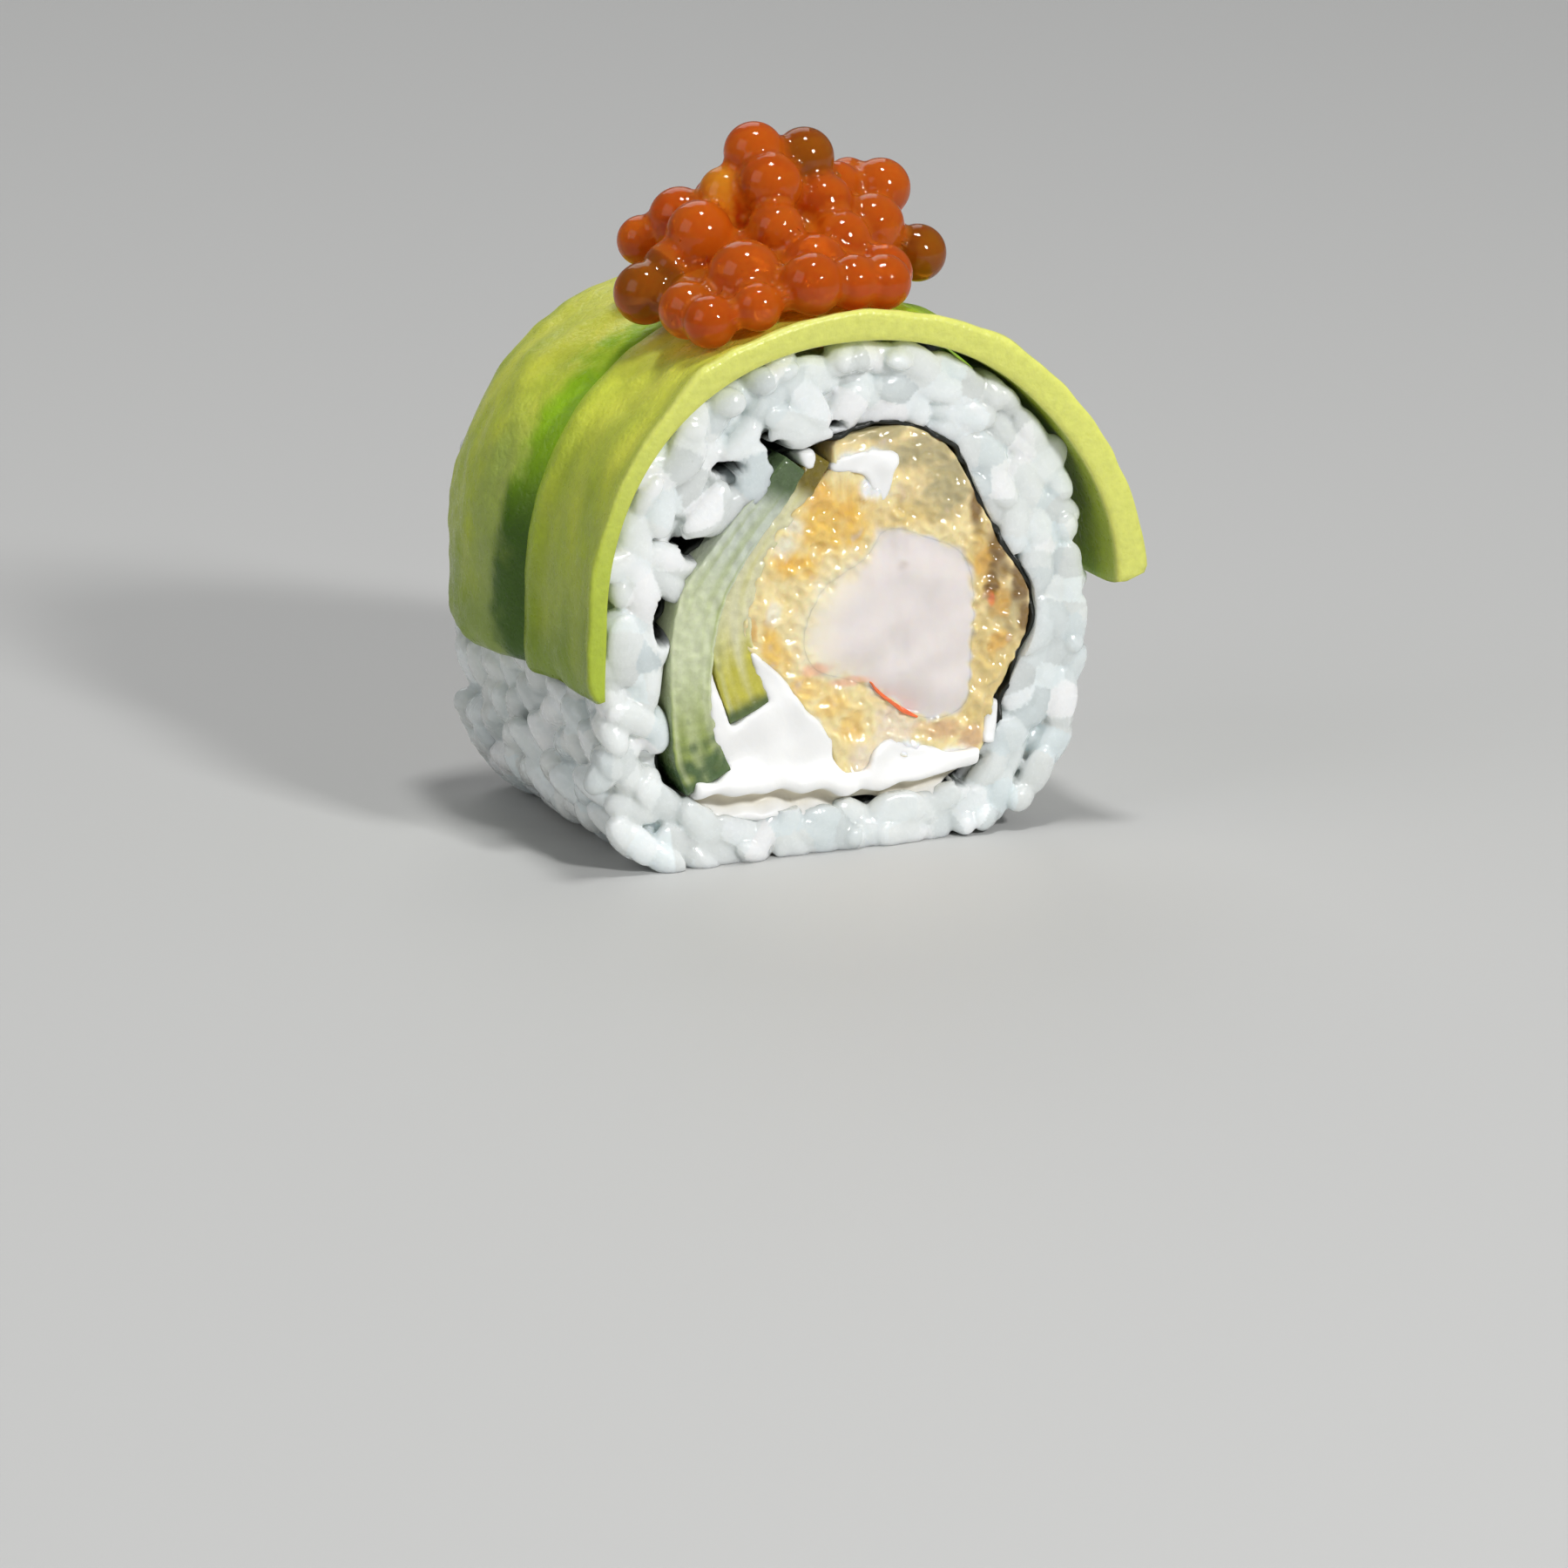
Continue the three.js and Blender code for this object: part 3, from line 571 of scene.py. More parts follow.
def round_middle(line, count):
    """A closed line read at even angles round the shrimp's middle, so that two such lines match up."""
    away = curve(line, 720, closed=True) - SHRIMP_MIDDLE
    angle = np.linspace(-np.pi, np.pi, count, endpoint=False)
    bearing = np.arctan2(away[:, 0], away[:, 1])
    order = np.argsort(bearing)
    distance = np.interp(angle, bearing[order], np.hypot(*away[order].T), period=2 * np.pi)
    return SHRIMP_MIDDLE + distance[:, None] * np.stack([np.sin(angle), np.cos(angle)], 1)


shrimp_outline = round_middle(SHRIMP_LINE, FILLING_COLUMNS)


def within_shrimp(face):
    """How far a point lies within the shrimp's outline, measured towards the shrimp's middle."""
    away = face - SHRIMP_MIDDLE
    bearing = np.arctan2(away[..., 0], away[..., 1])
    angle = np.linspace(-np.pi, np.pi, FILLING_COLUMNS, endpoint=False)
    edge = np.linalg.norm(shrimp_outline - SHRIMP_MIDDLE, axis=1)
    return np.interp(bearing, angle, edge, period=2 * np.pi) - np.linalg.norm(away, axis=-1)


def flesh_share(face):
    """1 in the shrimp and 0 in the batter, with a sharp edge at the right and a soft one at the left."""
    soft = 0.7 + 2.8 * ease(5, -3, face[..., 0] - 0.25 * (face[..., 1] - 20))
    return ease(-0.6 * soft, 0.6 * soft, within_shrimp(face) + 0.25 * wander(face, 2, 45))


def filling_relief(face):
    """Crumbs of two sizes in the batter, with a bubble burst open at the upper left. The shrimp is a low
    dome in two lobes with a faint grain, and a soft crease between them from the top to the lower edge."""
    crumbs = 0.11 * wander(face, 3, 41) + 0.085 * wander(face, 1.15, 42)
    crease = (face[..., 0] - 4.6 + 0.12 * (face[..., 1] - 20)) / 1.1
    share = flesh_share(face)
    dome = 0.4 * ease(0, 4, within_shrimp(face)) + share * (
        0.12 * wander(face, 5, 51) + 0.012 * wander(face * (1, 0.6), 1.7, 53) - 0.12 * np.exp(-crease**2))
    return crumbs * (1 - share) + dome - 0.9 * spots(face, [(-3, 28, 0.7, 0.45)])


def batter_colours(face):
    """Pale on the whole, with patches whose edges a random field makes ragged: gold and amber at the upper
    left, orange and rose below, honey and brown at the right, glassy above, white smears of cream, and a
    tan patch of painted shade in the recess under the shrimp's lower right edge."""
    ragged = 0.12 * wander(face, 3, 44) + 0.05 * wander(face, 1.1, 43)
    tint = np.broadcast_to(BATTER_PALE, face.shape[:2] + (3,))
    for colour, share, places in (
        (BATTER_GOLD, 1, [(-1.6, 30.4, 5.0, 3.6), (-5.2, 26.8, 2.4, 1.7), (-7.2, 19.5, 1.3, 2.6)]),
        (BATTER_AMBER, 0.55, [
            (-3.2, 32.6, 2.0, 1.5), (-0.2, 31, 1.4, 1.3), (-5.4, 26.9, 1.6, 0.6), (-9.3, 21, 0.6, 1.5)]),
        (BATTER_ORANGE, 1, [
            (-3.8, 15.2, 2.2, 1.6), (-1.8, 13.2, 2, 1.4), (0.6, 11.4, 1.6, 1.6), (-5.8, 17.6, 1, 1.6)]),
        (BATTER_ROSE, 1, [(4.4, 10.8, 2.8, 2.2), (1.4, 7.8, 1.6, 2.4)]),
        (BATTER_HONEY, 1, [
            (14.3, 16.5, 3, 4.8), (12.9, 25, 1.8, 4.5), (6, 30.2, 4.5, 1.3), (12.6, 11.4, 2, 2)]),
        # Painted shade: a tan patch in the recess under the shrimp's lower right edge stands in for its
        # shadow.
        (BATTER_PAINTED_SHADE, 0.8, [(9.3, 10.2, 2.6, 1.0), (12.2, 9.2, 1.4, 1.4)]),
        (BATTER_GLASSY, 1, [
            (9.6, 32.6, 3.4, 3.2), (7, 35.8, 4.5, 1.8), (3, 38.2, 6, 1.1), (15.4, 21, 2, 2.8)]),
        (BATTER_AMBER, 0.7, [(13.4, 25, 1.2, 2.2), (15, 21.4, 1.4, 2.2), (14.6, 17.6, 1.2, 1.6)]),
        (BATTER_BROWN, 0.85, [
            (14.8, 26.2, 1.3, 3.2), (16.9, 22.8, 1.3, 2.6), (17.4, 19.6, 0.9, 2.2), (12.5, 31, 0.8, 2.8),
            (14.2, 23.2, 0.8, 1.6)]),
        (SHRIMP_RED, 0.6, [(14.0, 21.6, 0.35, 0.7)]),
        (BATTER_SMEARED, 0.9, [(-6.0, 28.6, 1.5, 1.2), (-5.4, 30.3, 1.2, 1.0), (-7.1, 22.4, 0.8, 1.5)]),
        (CREAM_WHITE, 1, [
            (1.6, 35.6, 2.8, 1.0), (2.8, 33.8, 1.6, 2), (-3.2, 11.4, 1, 1.4), (6, 8.8, 2, 0.8),
            (10.5, 7.8, 1.6, 0.7)]),
    ):
        tint = mix(tint, colour, share * ease(0.2, 0.85, spots(face, places) + ragged))
    return tint


def filling_colours(face):
    """The batter's colours, going over to the shrimp's: white, with a warm veil at its left side and rose
    along the lower left edge. The fourth column is the share of the bumps, which fade in the shrimp."""
    share = flesh_share(face)
    flesh = mix(SHRIMP_WHITE, SHRIMP_VEIL, ease(4.5, 0.5, within_shrimp(face)) * ease(4, -2, face[..., 0]))
    tint = mix(batter_colours(face), flesh, share)
    rosy = spots(face, [(-3.2, 16.9, 1.8, 0.8), (0.2, 15.5, 2.4, 0.6)])
    tint = mix(tint, SHRIMP_ROSE, 0.7 * ease(0.3, 0.9, rosy))
    tint = mix(tint, (0.45, 0.36, 0.30), 0.5 * spots(face, [(5.2, 25.7, 0.5, 0.28)]))
    return np.concatenate([tint, 1 - 0.8 * share[..., None]], -1)


FILLING_PROUD = -0.1
batter = cut_piece(
    shrimp_outline, round_middle(BATTER_LINE, FILLING_COLUMNS), FILLING_PROUD, (0.02, 0.4), filling_relief,
    steps=60)
batter_coat = add_piece(
    "batter_coat", batter, grid_faces(*batter.shape[:2]), batter_finish,
    filling_colours(batter[..., [0, 2]]))
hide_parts("tempura_batter")

# Shrimp: one peeled shrimp inside the batter, cooked through, its flesh firm, moist and white with a pink
# cast. A red-orange line along its lower side is what is left of the skin's colour.
shrimp_finish = moist_food("cooked_shrimp", (3.0, 0.03), (0.5, 0.05), (0.10, 0.26), {
    "Subsurface Weight": 0.6, "Subsurface Radius": (1.0, 0.75, 0.45), "Subsurface Scale": 0.0005,
    "IOR": 1.38, "Coat Weight": 0.4, "Coat Roughness": 0.06})
shrimp = cut_piece(
    SHRIMP_MIDDLE + 0.03 * (shrimp_outline - SHRIMP_MIDDLE), shrimp_outline, FILLING_PROUD, (0.02, 0.02),
    filling_relief, steps=30, kind="disc")
shrimp_flesh = add_piece(
    "shrimp_flesh", shrimp, grid_faces(*shrimp.shape[:2], wrap_rows=False), shrimp_finish,
    filling_colours(shrimp[..., [0, 2]]))
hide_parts("shrimp")

RED_LINE = [(2.1, 15.3, 0.1), (2.9, 14.3, 0.3), (4.2, 13.2, 0.32), (5.4, 12.3, 0.45), (6.7, 11.6, 0.2)]
red = cut_piece(
    *strip_sides(RED_LINE, 40), 0.3, (0.1, 0.1), lambda face: 0.05 * wander(face, 1, 52), steps=8,
    kind="strip")
red_line = add_piece(
    "shrimp_red_line", red, grid_faces(*red.shape[:2], wrap_columns=False), shrimp_finish,
    np.full(red.shape, SHRIMP_RED))
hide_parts("shrimp")

# Cream cheese: soft white cheese spread along the filling. It fills the room under the shrimp, bulges over
# its lower edge as a lip, runs up between the cucumber slabs and leaves a pocket at the top of the batter.
cream_finish = moist_food("cream_cheese", (3.0, 0.02), (1.2, 0.05), (0.30, 0.42), {
    "Subsurface Weight": 0.3, "Subsurface Radius": (1.0, 0.95, 0.85), "Subsurface Scale": 0.0008,
    "IOR": 1.42})
LIP_LINE = [
    (-14, 6.6), (-10, 6.4), (-5, 6.2), (-2.4, 5.7), (0, 5.4), (2, 5.2), (4, 5.6), (8, 6.0), (12, 6.7),
]


def above_lip(face):
    """Height above the lower edge of the lip, which wavers a little."""
    edge = np.interp(face[..., 0], *np.transpose(LIP_LINE)) + 0.2 * wander(face[..., :1], 4, 62)
    return face[..., 1] - edge


def cream_relief(face):
    """Soft swells, fullest along the lip, with a hollow below it."""
    above = above_lip(face)
    lip = 0.7 * ease(3, 0.6, above) * ease(-0.5, 0.1, above)
    hollow = 1.5 * ease(0.1, -0.5, above) * ease(-2.2, -1.1, above)
    return 0.12 * wander(face, 5, 61) + lip - hollow


def between(lower, upper, proud, corner):
    """Cream cheese between a lower and an upper line."""
    return cut_piece(
        curve(lower, 90), curve(upper, 90), proud, corner, cream_relief, steps=30, kind="strip")


def streak(line, proud):
    """A streak of cream cheese along a middle line of (x, z, width)."""
    return cut_piece(*strip_sides(line, 40), proud, (0.3, 0.3), cream_relief, steps=12, kind="strip")


cream_bodies = [
    between(
        [(-14.6, 6.2), (-9.5, 6.1), (-5, 5.9), (-2.4, 5.4), (-0.2, 5.1), (1.4, 5.0)],
        [(-14.4, 6.8), (-12.6, 7.9), (-11.5, 9.1), (-12.4, 11.2), (-10.8, 12.7), (-7.0, 14.8), (-5.3, 15.0),
         (-4.0, 13.3), (-2.9, 12.3), (-1.5, 10.4), (-1.4, 8.6), (-0.4, 7.2), (0.2, 6.2)], 0.12, (1.0, 0.3)),
    between(
        [(1.4, 5.0), (3, 5.0), (6.4, 5.5), (8.6, 5.7), (12.6, 6.7)],
        [(2.0, 7.4), (2.6, 9.0), (4.3, 9.9), (6.2, 9.0), (8.2, 8.8), (10, 7.9), (12.8, 8.2)],
        0.12, (0.8, 0.3)),
    between(
        [(-15.2, 5.4), (-12.5, 4.2), (-9, 3.6), (-6, 3.2), (-3.4, 2.9), (-1.2, 3.2), (-0.2, 4.1), (3.2, 4.2),
         (5, 3.4), (8, 3.6), (9.6, 4.6), (12.6, 6.2)],
        [(-14.8, 8), (-12.5, 7.6), (-9, 7.6), (-6, 7.4), (-3.4, 7.2), (-1.2, 7.2), (-0.2, 7.2), (3.2, 7.2),
         (5, 7.2), (8, 7), (9.6, 7), (12.6, 7.4)], -0.1, (0.4, 0.3)),
    streak([(-13.3, 17.8, 0.5), (-12.8, 15, 1.3), (-12.2, 12, 2.1), (-11.4, 9.6, 2.4)], 0.05),
    streak([(-9.4, 19.2, 0.4), (-8.2, 17.4, 1.5), (-6.9, 15.6, 2.3), (-5.8, 13.4, 2.4)], 0.15),
    streak([(14.5, 12.3, 0.8), (14.1, 10.4, 1.3), (13.7, 8.4, 1.2)], 0.05),
    streak([(-3.95, 36.9, 1.5), (-3.8, 36.2, 1.5), (-3.6, 35.2, 0.8)], -0.1),
]
cream_points, cream_faces = fused(
    [(body, grid_faces(*body.shape[:2], wrap_columns=False)) for body in cream_bodies], 0.26, 6, 0.5)
above = above_lip(cream_points[:, [0, 2]])
# Painted shade: the cream is darkened to grey-beige in the hollow just under the lip.
cream_tint = mix(CREAM_WHITE, (0.70, 0.64, 0.50), 0.9 * ease(0.1, -0.3, above) * ease(-1.8, -0.8, above))
cream_fill = add_piece("cream_fill", cream_points, cream_faces, cream_finish, cream_tint)
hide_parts("cream_cheese")

POCKET_LINE = [
    (-1.7, 34.9), (-1.2, 35.8), (0.4, 36.3), (2.6, 36.5), (4.6, 36.2), (5.0, 35.2), (4.4, 34.2), (4.1, 32.7),
    (3.3, 31.6), (2.3, 32.7), (1.8, 33.9), (0.7, 34.5),
]
POCKET_MIDDLE = np.array((2.8, 34.9))
pocket_outline = curve(POCKET_LINE, 90, closed=True)
pocket = cut_piece(
    POCKET_MIDDLE + 0.05 * (pocket_outline - POCKET_MIDDLE), pocket_outline, 0.16, (0.2, 0.4),
    lambda face: 0.1 * wander(face, 3, 63), steps=20, kind="disc")
pocket_points, pocket_faces = fused(
    [(pocket, grid_faces(*pocket.shape[:2], wrap_rows=False))], 0.2, 4, 0.5)
cream_pocket = add_piece(
    "cream_pocket", pocket_points, pocket_faces, cream_finish,
    np.full(pocket_points.shape, CREAM_WHITE))
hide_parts("cream_cheese_pocket")

# Avocado: two ripe slices, cut lengthwise and draped side by side over the rice, where they stick by
# themselves. The flesh is yellow-green inside and greener towards the skin side; the right ends hang free.
AVOCADO_LIGHT = (0.70, 0.72, 0.17)
AVOCADO_YELLOW = (0.76, 0.80, 0.09)
AVOCADO_OLIVE = (0.43, 0.53, 0.05)
AVOCADO_LEAF = (0.24, 0.35, 0.015)
AVOCADO_GREEN = (0.30, 0.53, 0.008)
AVOCADO_DEEP = (0.055, 0.13, 0.002)
AVOCADO_PAINTED_SHEEN = (0.34, 0.43, 0.13)
SLICE_LEFT, SLICE_RIGHT = -105, 90.5
SLICE_GAP = 0.2
avocado_finish = moist_food("ripe_avocado", (0.9, 0.06), (0.5, 0.10), (0.26, 0.46), {
    "Subsurface Weight": 0.35, "Subsurface Radius": (0.9, 1.0, 0.25), "Subsurface Scale": 0.0015,
    "IOR": 1.38, "Coat Weight": 0.14, "Coat Roughness": 0.18})
FRONT_SLICE = {"front": -18, "back": -1.4, "thick": 2.7, "thin": 1.5, "forward": 1.7, "lift": 0.6}
BACK_SLICE = {"front": -3.0, "back": 17.2, "thick": 1.7, "thin": 2.8, "forward": 1.2, "lift": 0.0}
FRONT_TOP = [(0, 0.92), (0.05, 1), (0.16, 0.76), (0.4, 0.68), (0.7, 0.62), (0.92, 0.46), (1, 0.22)]
BACK_TOP = [(0, 0.08), (0.09, 0.17), (0.24, 0.68), (0.45, 1), (0.65, 0.95), (0.85, 0.7), (1, 0.2)]


def slice_height(slice_, degrees):
    """Thickness of a slice: thin low down on the left, full from the top on."""
    return slice_["thin"] + (slice_["thick"] - slice_["thin"]) * ease(-75, 0, degrees)


def slice_floor(slice_, degrees, y):
    """Distance of a slice's underside from the axis: on the rice, off it towards the right end, and for the
    front slice raised where its hind edge climbs onto the other."""
    off_rice = 1.5 * ease(45, SLICE_RIGHT, degrees)
    return rice_edge(np.radians(degrees)) + SLICE_GAP + off_rice + slice_["lift"] * ease(-6, -3, y)


def draped(slice_, top, seed):
    """A section of the slice, a closed curve of (across, height), carried over the roll from its left end to
    its right end. The ends are straight, with rounded corners and edges."""
    loop = [(0.0, 0.06), *top, (0.995, 0.05), (0.9, 0), (0.6, 0), (0.3, 0), (0.03, 0)]
    loop = curve([(across * 6, height) for across, height in loop], 72, closed=True) / (6, 1)
    across, height = np.clip(loop[:, 0], 0, 1)[:, None], loop[:, 1][:, None]
    longer = 1.2 * (1 - (2 * across - 1) ** 6)
    share = np.linspace(0, 1, 150)
    degrees = (SLICE_LEFT - longer) * (1 - share) + (SLICE_RIGHT + longer) * share
    y = slice_["front"] + (slice_["back"] - slice_["front"]) * across
    from_end = np.minimum(share / 0.03, (1 - share) / 0.012)
    rounded = np.sqrt(1 - (1 - np.clip(from_end, 0.05, 1)) ** 2)
    radius = slice_floor(slice_, degrees, y) + height * slice_height(slice_, degrees) * rounded
    swing = slice_["forward"] * ease(15, SLICE_RIGHT, degrees)
    x, z = np.moveaxis(on_cut(np.radians(degrees), radius), -1, 0)
    points = np.stack([x, y - swing, z], -1)
    waves = 0.14 * wander(points, 9, seed) + 0.05 * wander(points, 3, seed + 1)
    outwards = np.stack([np.sin(np.radians(degrees)), 0 * degrees, np.cos(np.radians(degrees))], -1)
    points = points + outwards * (waves * ease(0.1, 0.5, height))[..., None]
    return points, across + 0 * degrees, height + 0 * degrees, degrees


def slice_colours(points, height, degrees):
    """Yellow on top and olive down the left side, going over to leaf green low down, in soft clouds drawn
    out along the slice. On the right, where the slices stand off the rice, their undersides are darkened
    to leaf green as painted shade."""
    clouds = wander(points * (0.5, 1, 0.5), 4, 73)
    tint = mix(AVOCADO_OLIVE, AVOCADO_YELLOW, ease(-80, -25, degrees + 7 * clouds))
    tint = mix(tint, AVOCADO_LEAF, ease(-80, -106, degrees + 3 * clouds))
    # Painted shade: at the right, where the slices stand off the rice, their undersides are darkened to leaf
    # green.
    return mix(tint, AVOCADO_LEAF, 0.8 * ease(0.3, 0.0, height) * ease(20, 40, degrees))


def skin_side(points, degrees):
    """Share of bright green on the right, where the slices' skin side shows, in clouds that fade to the
    end."""
    clouds = 0.2 * wander(points * (0.5, 1, 0.5), 6, 75)
    return ease(5, 18, degrees) * np.clip(0.85 - 0.45 * ease(25, 85, degrees) + clouds, 0, 0.95)


points, across, height, degrees = draped(FRONT_SLICE, FRONT_TOP, 71)
tint = slice_colours(points, height, degrees)
tint = mix(tint, AVOCADO_GREEN, 0.4 * ease(0.75, 1.0, across) * ease(-100, -60, degrees))
tint = mix(tint, AVOCADO_GREEN, skin_side(points, degrees) * ease(0.12, 0.3, across))
tint = mix(tint, mix(AVOCADO_LIGHT, AVOCADO_OLIVE, ease(-25, -100, degrees)), ease(0.055, 0.03, across))
avocado_front = add_piece(
    "avocado_front_slice", points, grid_faces(*points.shape[:2], wrap_columns=False), avocado_finish,
    tint)
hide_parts("avocado_front")
points, across, height, degrees = draped(BACK_SLICE, BACK_TOP, 72)
tint = slice_colours(points, height, degrees)
# The back slice's front edge is the deep green of the flesh by the skin, and darker towards the left end as
# painted shade in the groove between the slices.
groove = mix(AVOCADO_GREEN, AVOCADO_DEEP, ease(-55, -80, degrees))
ragged = 0.03 * wander(points, 5, 74) + 0.012 * wander(points, 1.5, 76)
# Painted sheen: a pale grey-green band beside the groove stands in for a wet highlight.
tint = mix(tint, AVOCADO_PAINTED_SHEEN, 0.6 * ease(0.56, 0.42, across + ragged) * ease(-48, -70, degrees))
tint = mix(tint, groove, ease(0.34, 0.2, across + ragged))
tint = mix(tint, AVOCADO_GREEN, skin_side(points, degrees))
avocado_back = add_piece(
    "avocado_back_slice", points, grid_faces(*points.shape[:2], wrap_columns=False), avocado_finish,
    tint)
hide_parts("avocado_back")

# Salmon roe: a spoonful of large, cured eggs, each a thin skin full of clear orange oil and jelly. They
# press into each other, the lowest ones rest on the avocado, and their juice fills the creases between them.
ROE = [
    (-13.5, -3, 49.2, 5.4), (-12.4, -10, 49, 5), (-11.8, -13.5, 48.6, 4.6), (-7.1, -10.5, 51.6, 6.4),
    (-7.9, -15, 49.4, 4.2), (-2.7, -15, 51.3, 5.4), (1.4, -14.7, 51, 4.8), (4.4, -14.6, 50.6, 4.8),
    (7, -9, 50.4, 5), (-5, -4, 51.4, 5.6), (0, -9.5, 51.8, 5.6), (0, 0, 51.6, 6), (6, 1, 51.4, 6),
    (11.5, 0.5, 50.4, 5.4), (-4, 6, 51.6, 5.6), (2, 7, 51.6, 5.6), (8, 7, 51, 5.4), (13.1, -3, 50.5, 5),
    (-2.1, -6, 54.6, 4.8), (4.2, -6, 53, 5.2), (8.6, -3, 53.4, 5.6), (-8.2, -3, 54.1, 5.8),
    (-7.5, 3, 54.3, 5.4), (-10.3, 5, 52.1, 4.4), (4, -2.5, 55.6, 5.4), (-1.4, -3, 58, 5.6),
    (-4.4, 0, 56.9, 4.6), (7.2, 1.5, 56.4, 4), (9.2, 3.5, 56.2, 4), (11.5, 1.5, 55.7, 5.2),
    (1, 4, 55.5, 5.4), (6, 5, 54.5, 5.2), (-3, 4, 55, 5.2), (-1.6, 0, 60.4, 5.2), (3.3, 0, 59.5, 5.2),
]
ROE_ORANGE = (0.65, 0.122, 0.006)
ROE_AMBER = (0.88, 0.28, 0.02)
ROE_CLEAR = (0.30, 0.10, 0.0035)
CLEAR_EGGS = [0, 17, 34]
BRIGHT_EGG = 26
roe_finish = bpy.data.materials.new("salmon_roe")
roe_finish.use_nodes = True
roe_tree = roe_finish.node_tree
roe_shader = roe_tree.nodes["Principled BSDF"]
for socket, value in {
    "Roughness": 0.03, "IOR": 1.35, "Transmission Weight": 0.5, "Subsurface Weight": 0.9,
    "Subsurface Radius": (1.0, 0.6, 0.25), "Subsurface Scale": 0.004,
}.items():
    roe_shader.inputs[socket].default_value = value
egg_colour = node(roe_tree, "ShaderNodeAttribute", {}, attribute_name="tint")
roe_tree.links.new(egg_colour.outputs["Color"], roe_shader.inputs["Base Color"])


def cover_radius(degrees, y):
    """Distance from the axis to the top of the avocado."""
    in_front = y < FRONT_SLICE["back"]
    reach = np.zeros(y.shape)
    for slice_, top, here in ((FRONT_SLICE, FRONT_TOP, in_front), (BACK_SLICE, BACK_TOP, ~in_front)):
        share = (y - slice_["front"]) / (slice_["back"] - slice_["front"])
        cover = np.interp(share, *np.transpose(top)) * slice_height(slice_, degrees)
        reach = np.where(here, slice_floor(slice_, degrees, y) + cover, reach)
    return reach


def settled(roe):
    """Centres and radii of the eggs, raised where an egg would sink into the avocado: along its underside, a
    point a share of the radius aside lies the square root of 1 - share^2 of it below the centre."""
    x, y, z, diameter = np.transpose(roe)
    radius = diameter / 2
    degrees = np.degrees(np.arcsin(x / (RICE_HALF_HEIGHT + FRONT_SLICE["thick"] + radius)))
    share = np.linspace(-0.9, 0.9, 7)[:, None]
    reach = (cover_radius(degrees + 0 * share, y + share * radius) + radius * np.sqrt(1 - share**2)).max(0)
    rest = AXIS_HEIGHT + np.sqrt((reach + SLICE_GAP) ** 2 - x**2)
    return np.stack([x, y, np.maximum(z, rest), radius], 1)


eggs = settled(ROE)
EGG_ROWS, EGG_COLUMNS = 25, 36
EGG_SWELL = 1.05
JUICE = 0.5
way = np.linspace(0, np.pi, EGG_ROWS)[:, None]
turn = np.linspace(0, 2 * np.pi, EGG_COLUMNS, endpoint=False)
ball = np.stack(np.broadcast_arrays(np.sin(way) * np.cos(turn), np.sin(way) * np.sin(turn), np.cos(way)), -1)
egg_points = eggs[:, None, None, :3] + ball * (eggs[:, None, None, 3:] * EGG_SWELL + JUICE)
JELLY = [
    ((-1, -1.5, 52.4), (8, 6.5, 3.4)), ((-10.6, -5.8, 51.2), (3.5, 4.6, 2.5)),
    ((-11.5, -2.5, 53.6), (2.4, 3, 2.3)), ((-4.5, -13.6, 50.4), (7.5, 2.6, 1.6)),
    ((-0.5, -4, 51.6), (11.5, 10.5, 2.2)),
]
middles, reaches = np.moveaxis(np.array(JELLY), 1, 0)[:, :, None, None]
jelly_points = middles + ball * reaches
jelly_points[..., 2] -= jelly_points[..., 0] ** 2 / (3 * RICE_HALF_HEIGHT)


def shrunk(points, faces, distance):
    """The surface moved inwards along its normals, each the mean of the normals of the faces round a
    point. Eggs that were grown before they were fused come back to their size, with juice in the creases."""
    corners = points[np.array(faces)]
    normals = np.cross(corners[:, 1] - corners[:, 0], corners[:, 2] - corners[:, 0])
    around_point = np.zeros_like(points)
    np.add.at(around_point, np.ravel(faces), np.repeat(normals, 3, axis=0))
    return points - distance * unit(around_point)


roe_points, roe_faces = fused([
    (egg_points, blob_faces(len(eggs), EGG_ROWS, EGG_COLUMNS)),
    (jelly_points, blob_faces(len(JELLY), EGG_ROWS, EGG_COLUMNS))], 0.22, 2, 0.9)
roe_points = shrunk(roe_points, roe_faces, JUICE)
reach = np.linalg.norm(roe_points[:, None] - eggs[None, :, :3], axis=-1) - eggs[:, 3]
owner = reach.argmin(1)
weight = np.exp(-(reach - reach.min(1, keepdims=True)) / 0.3)
weight /= weight.sum(1, keepdims=True)
crease = ease(0.1, 0.6, 1 - weight.max(1))
LIGHT_WAY = np.array((0.25, -0.82, 0.51))
# Painted light: each egg is lighter amber on its side away from the key light, where light that passes
# through it would gather.
painted_glow = ease(-0.4, 0.6, -unit(roe_points - eggs[owner, :3]) @ LIGHT_WAY)
own = weight @ np.random.default_rng(8).uniform(0, 1, len(eggs))
clear = weight @ np.isin(np.arange(len(eggs)), CLEAR_EGGS)
roe_tint = mix(ROE_ORANGE, ROE_AMBER, np.clip(0.5 * painted_glow + 0.2 * crease + 0.2 * own, 0, 1))
roe_tint = mix(roe_tint, mix(ROE_CLEAR, ROE_AMBER, 0.7 * painted_glow), 0.85 * clear)
roe_tint = mix(roe_tint, (0.98, 0.36, 0.02), 0.9 * weight[:, BRIGHT_EGG])
roe_heap = add_piece("roe_heap", roe_points, roe_faces, roe_finish, roe_tint)
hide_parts("roe")

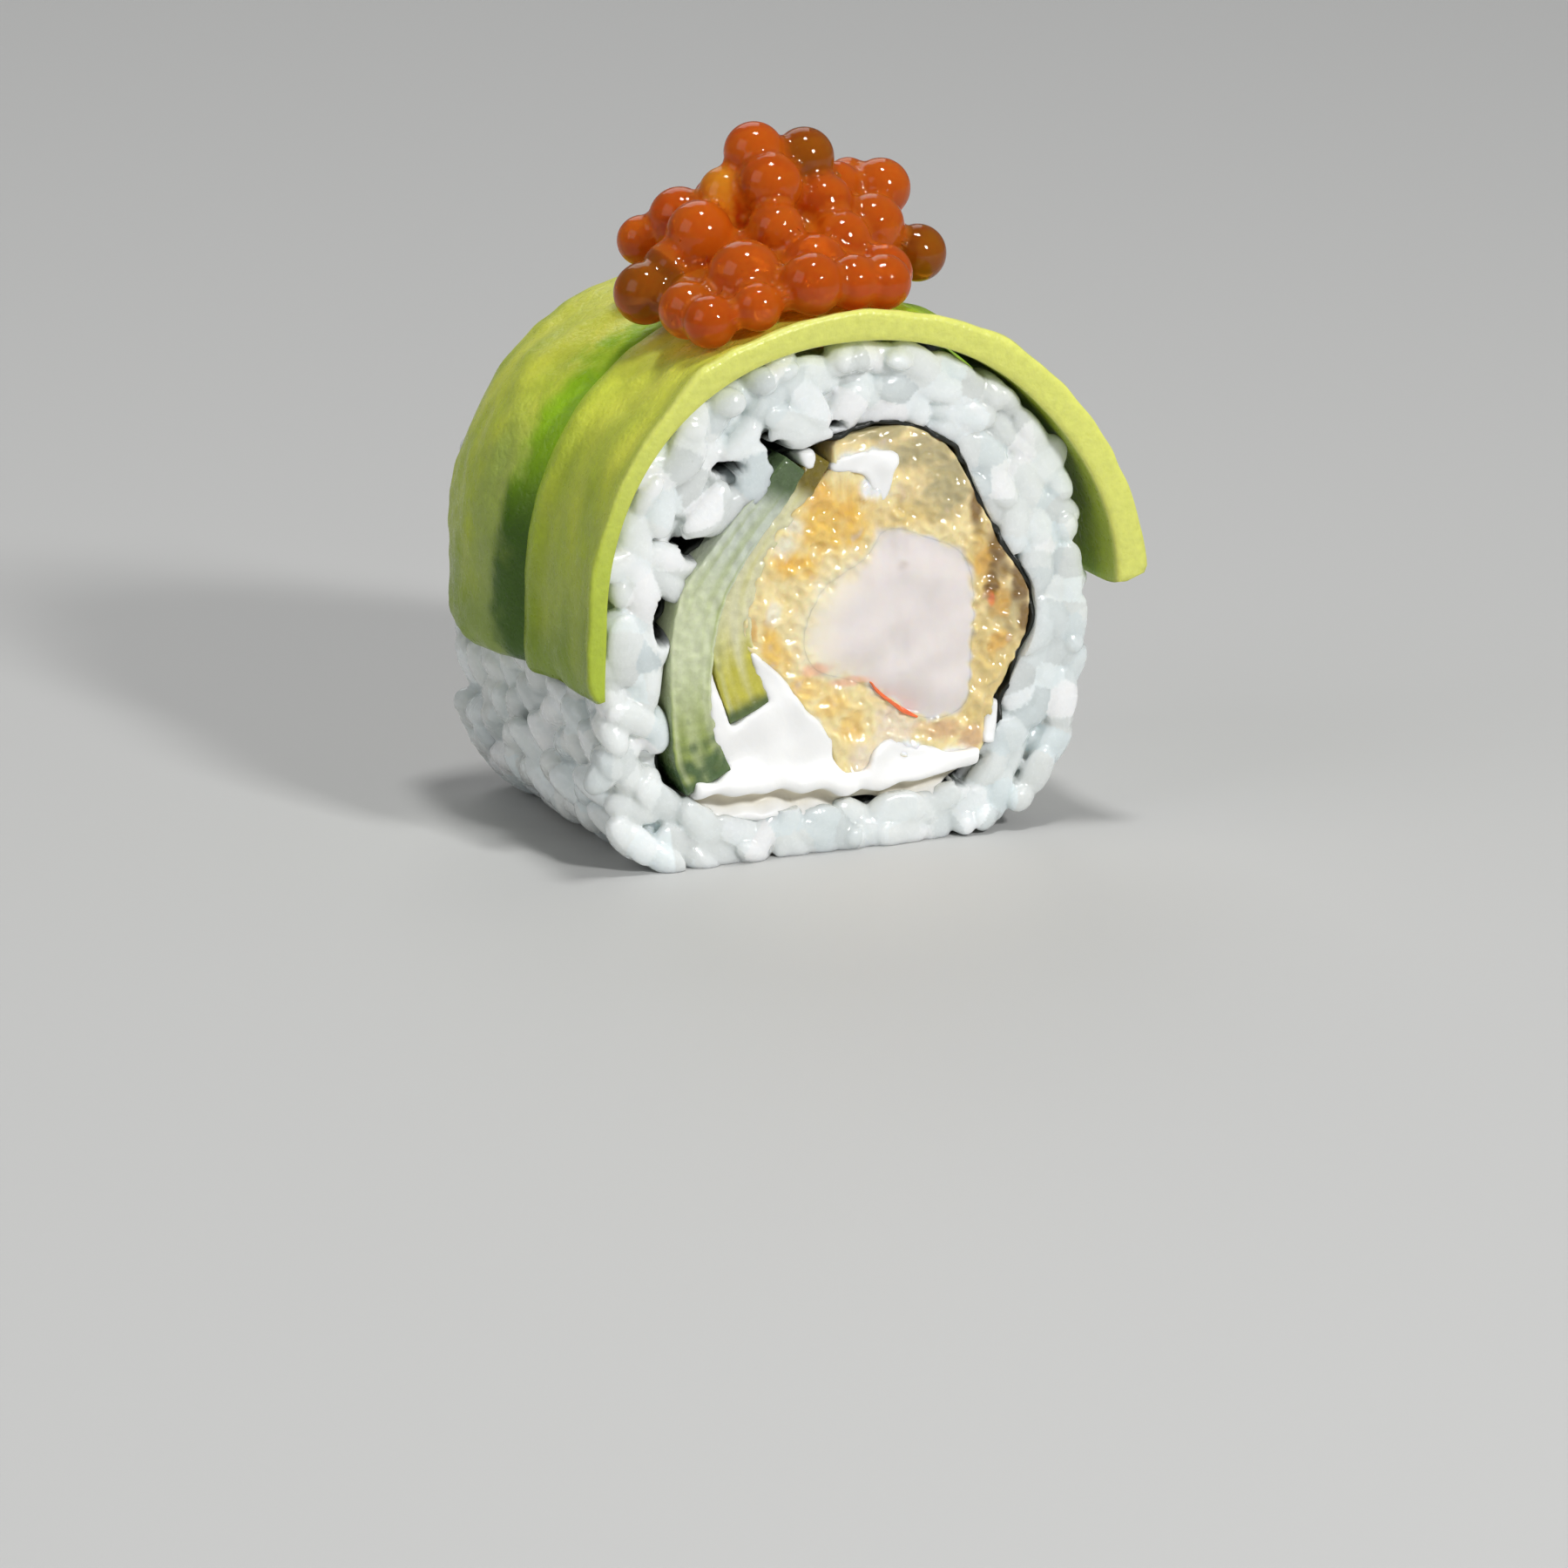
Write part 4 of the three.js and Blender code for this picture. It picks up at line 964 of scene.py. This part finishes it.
# Floor, light and camera: a plain pale table that runs up into a plain pale wall, lit from the front right,
# from above and softly from the left and behind, and a long lens a little above the piece.
floor_mesh = bpy.data.meshes.new("floor")
FLOOR_STEPS = 60
run = np.linspace(-1.5, 2.5, FLOOR_STEPS)
rise = 1.2 * ease(0.9, 2.3, run)
floor_grid = np.stack(np.broadcast_arrays([[-2.5], [2.5]], run, rise), -1)
floor_quads = grid_faces(2, FLOOR_STEPS, wrap_rows=False, wrap_columns=False)[:FLOOR_STEPS - 1]
floor_mesh.from_pydata(floor_grid.reshape(-1, 3).tolist(), [], floor_quads)
floor_mesh.shade_smooth()
floor = bpy.data.objects.new("floor", floor_mesh)
bpy.context.collection.objects.link(floor)
floor_finish = bpy.data.materials.new("pale_table")
floor_finish.use_nodes = True
floor_finish.node_tree.nodes["Principled BSDF"].inputs["Base Color"].default_value = (0.52, 0.52, 0.51, 1)
floor_finish.node_tree.nodes["Principled BSDF"].inputs["Roughness"].default_value = 0.6
floor_mesh.materials.append(floor_finish)


MIDDLE = (0, 0, 0.025)


def soft_light(name, place, size, watts):
    """A square light at a place, turned towards the middle of the piece."""
    light = bpy.data.lights.new(name, "AREA")
    light.size = size
    light.energy = watts
    lamp = bpy.data.objects.new(name, light)
    lamp.location = place
    lamp.rotation_euler = (Vector(MIDDLE) - Vector(place)).to_track_quat("-Z", "Y").to_euler()
    bpy.context.collection.objects.link(lamp)


soft_light("key_light", (0.25, -0.82, 0.54), 0.12, 6.4)
soft_light("top_light", (0.05, -0.1, 1.05), 0.15, 4.6)
soft_light("left_fill", (-0.9, -0.15, 0.6), 0.7, 1.9)
soft_light("back_light", (0.2, 0.8, 0.7), 0.6, 1.6)
world = bpy.data.worlds.new("pale_room")
world.use_nodes = True
world.node_tree.nodes["Background"].inputs["Color"].default_value = (0.9, 0.92, 0.95, 1)
world.node_tree.nodes["Background"].inputs["Strength"].default_value = 0.16
bpy.context.scene.world = world
bpy.context.scene.view_settings.view_transform = "Standard"

LOOKED_AT = (0.000961, -0.000845, 0.001938)
lens = bpy.data.cameras.new("long_lens")
lens.lens = 228.06
lens.sensor_width = 36
camera = bpy.data.objects.new("camera", lens)
camera.location = (-0.3529, -0.7931, 0.2410)
camera.rotation_euler = (
    Vector(LOOKED_AT) - camera.location).to_track_quat("-Z", "Y").to_euler()
bpy.context.collection.objects.link(camera)
bpy.context.scene.camera = camera
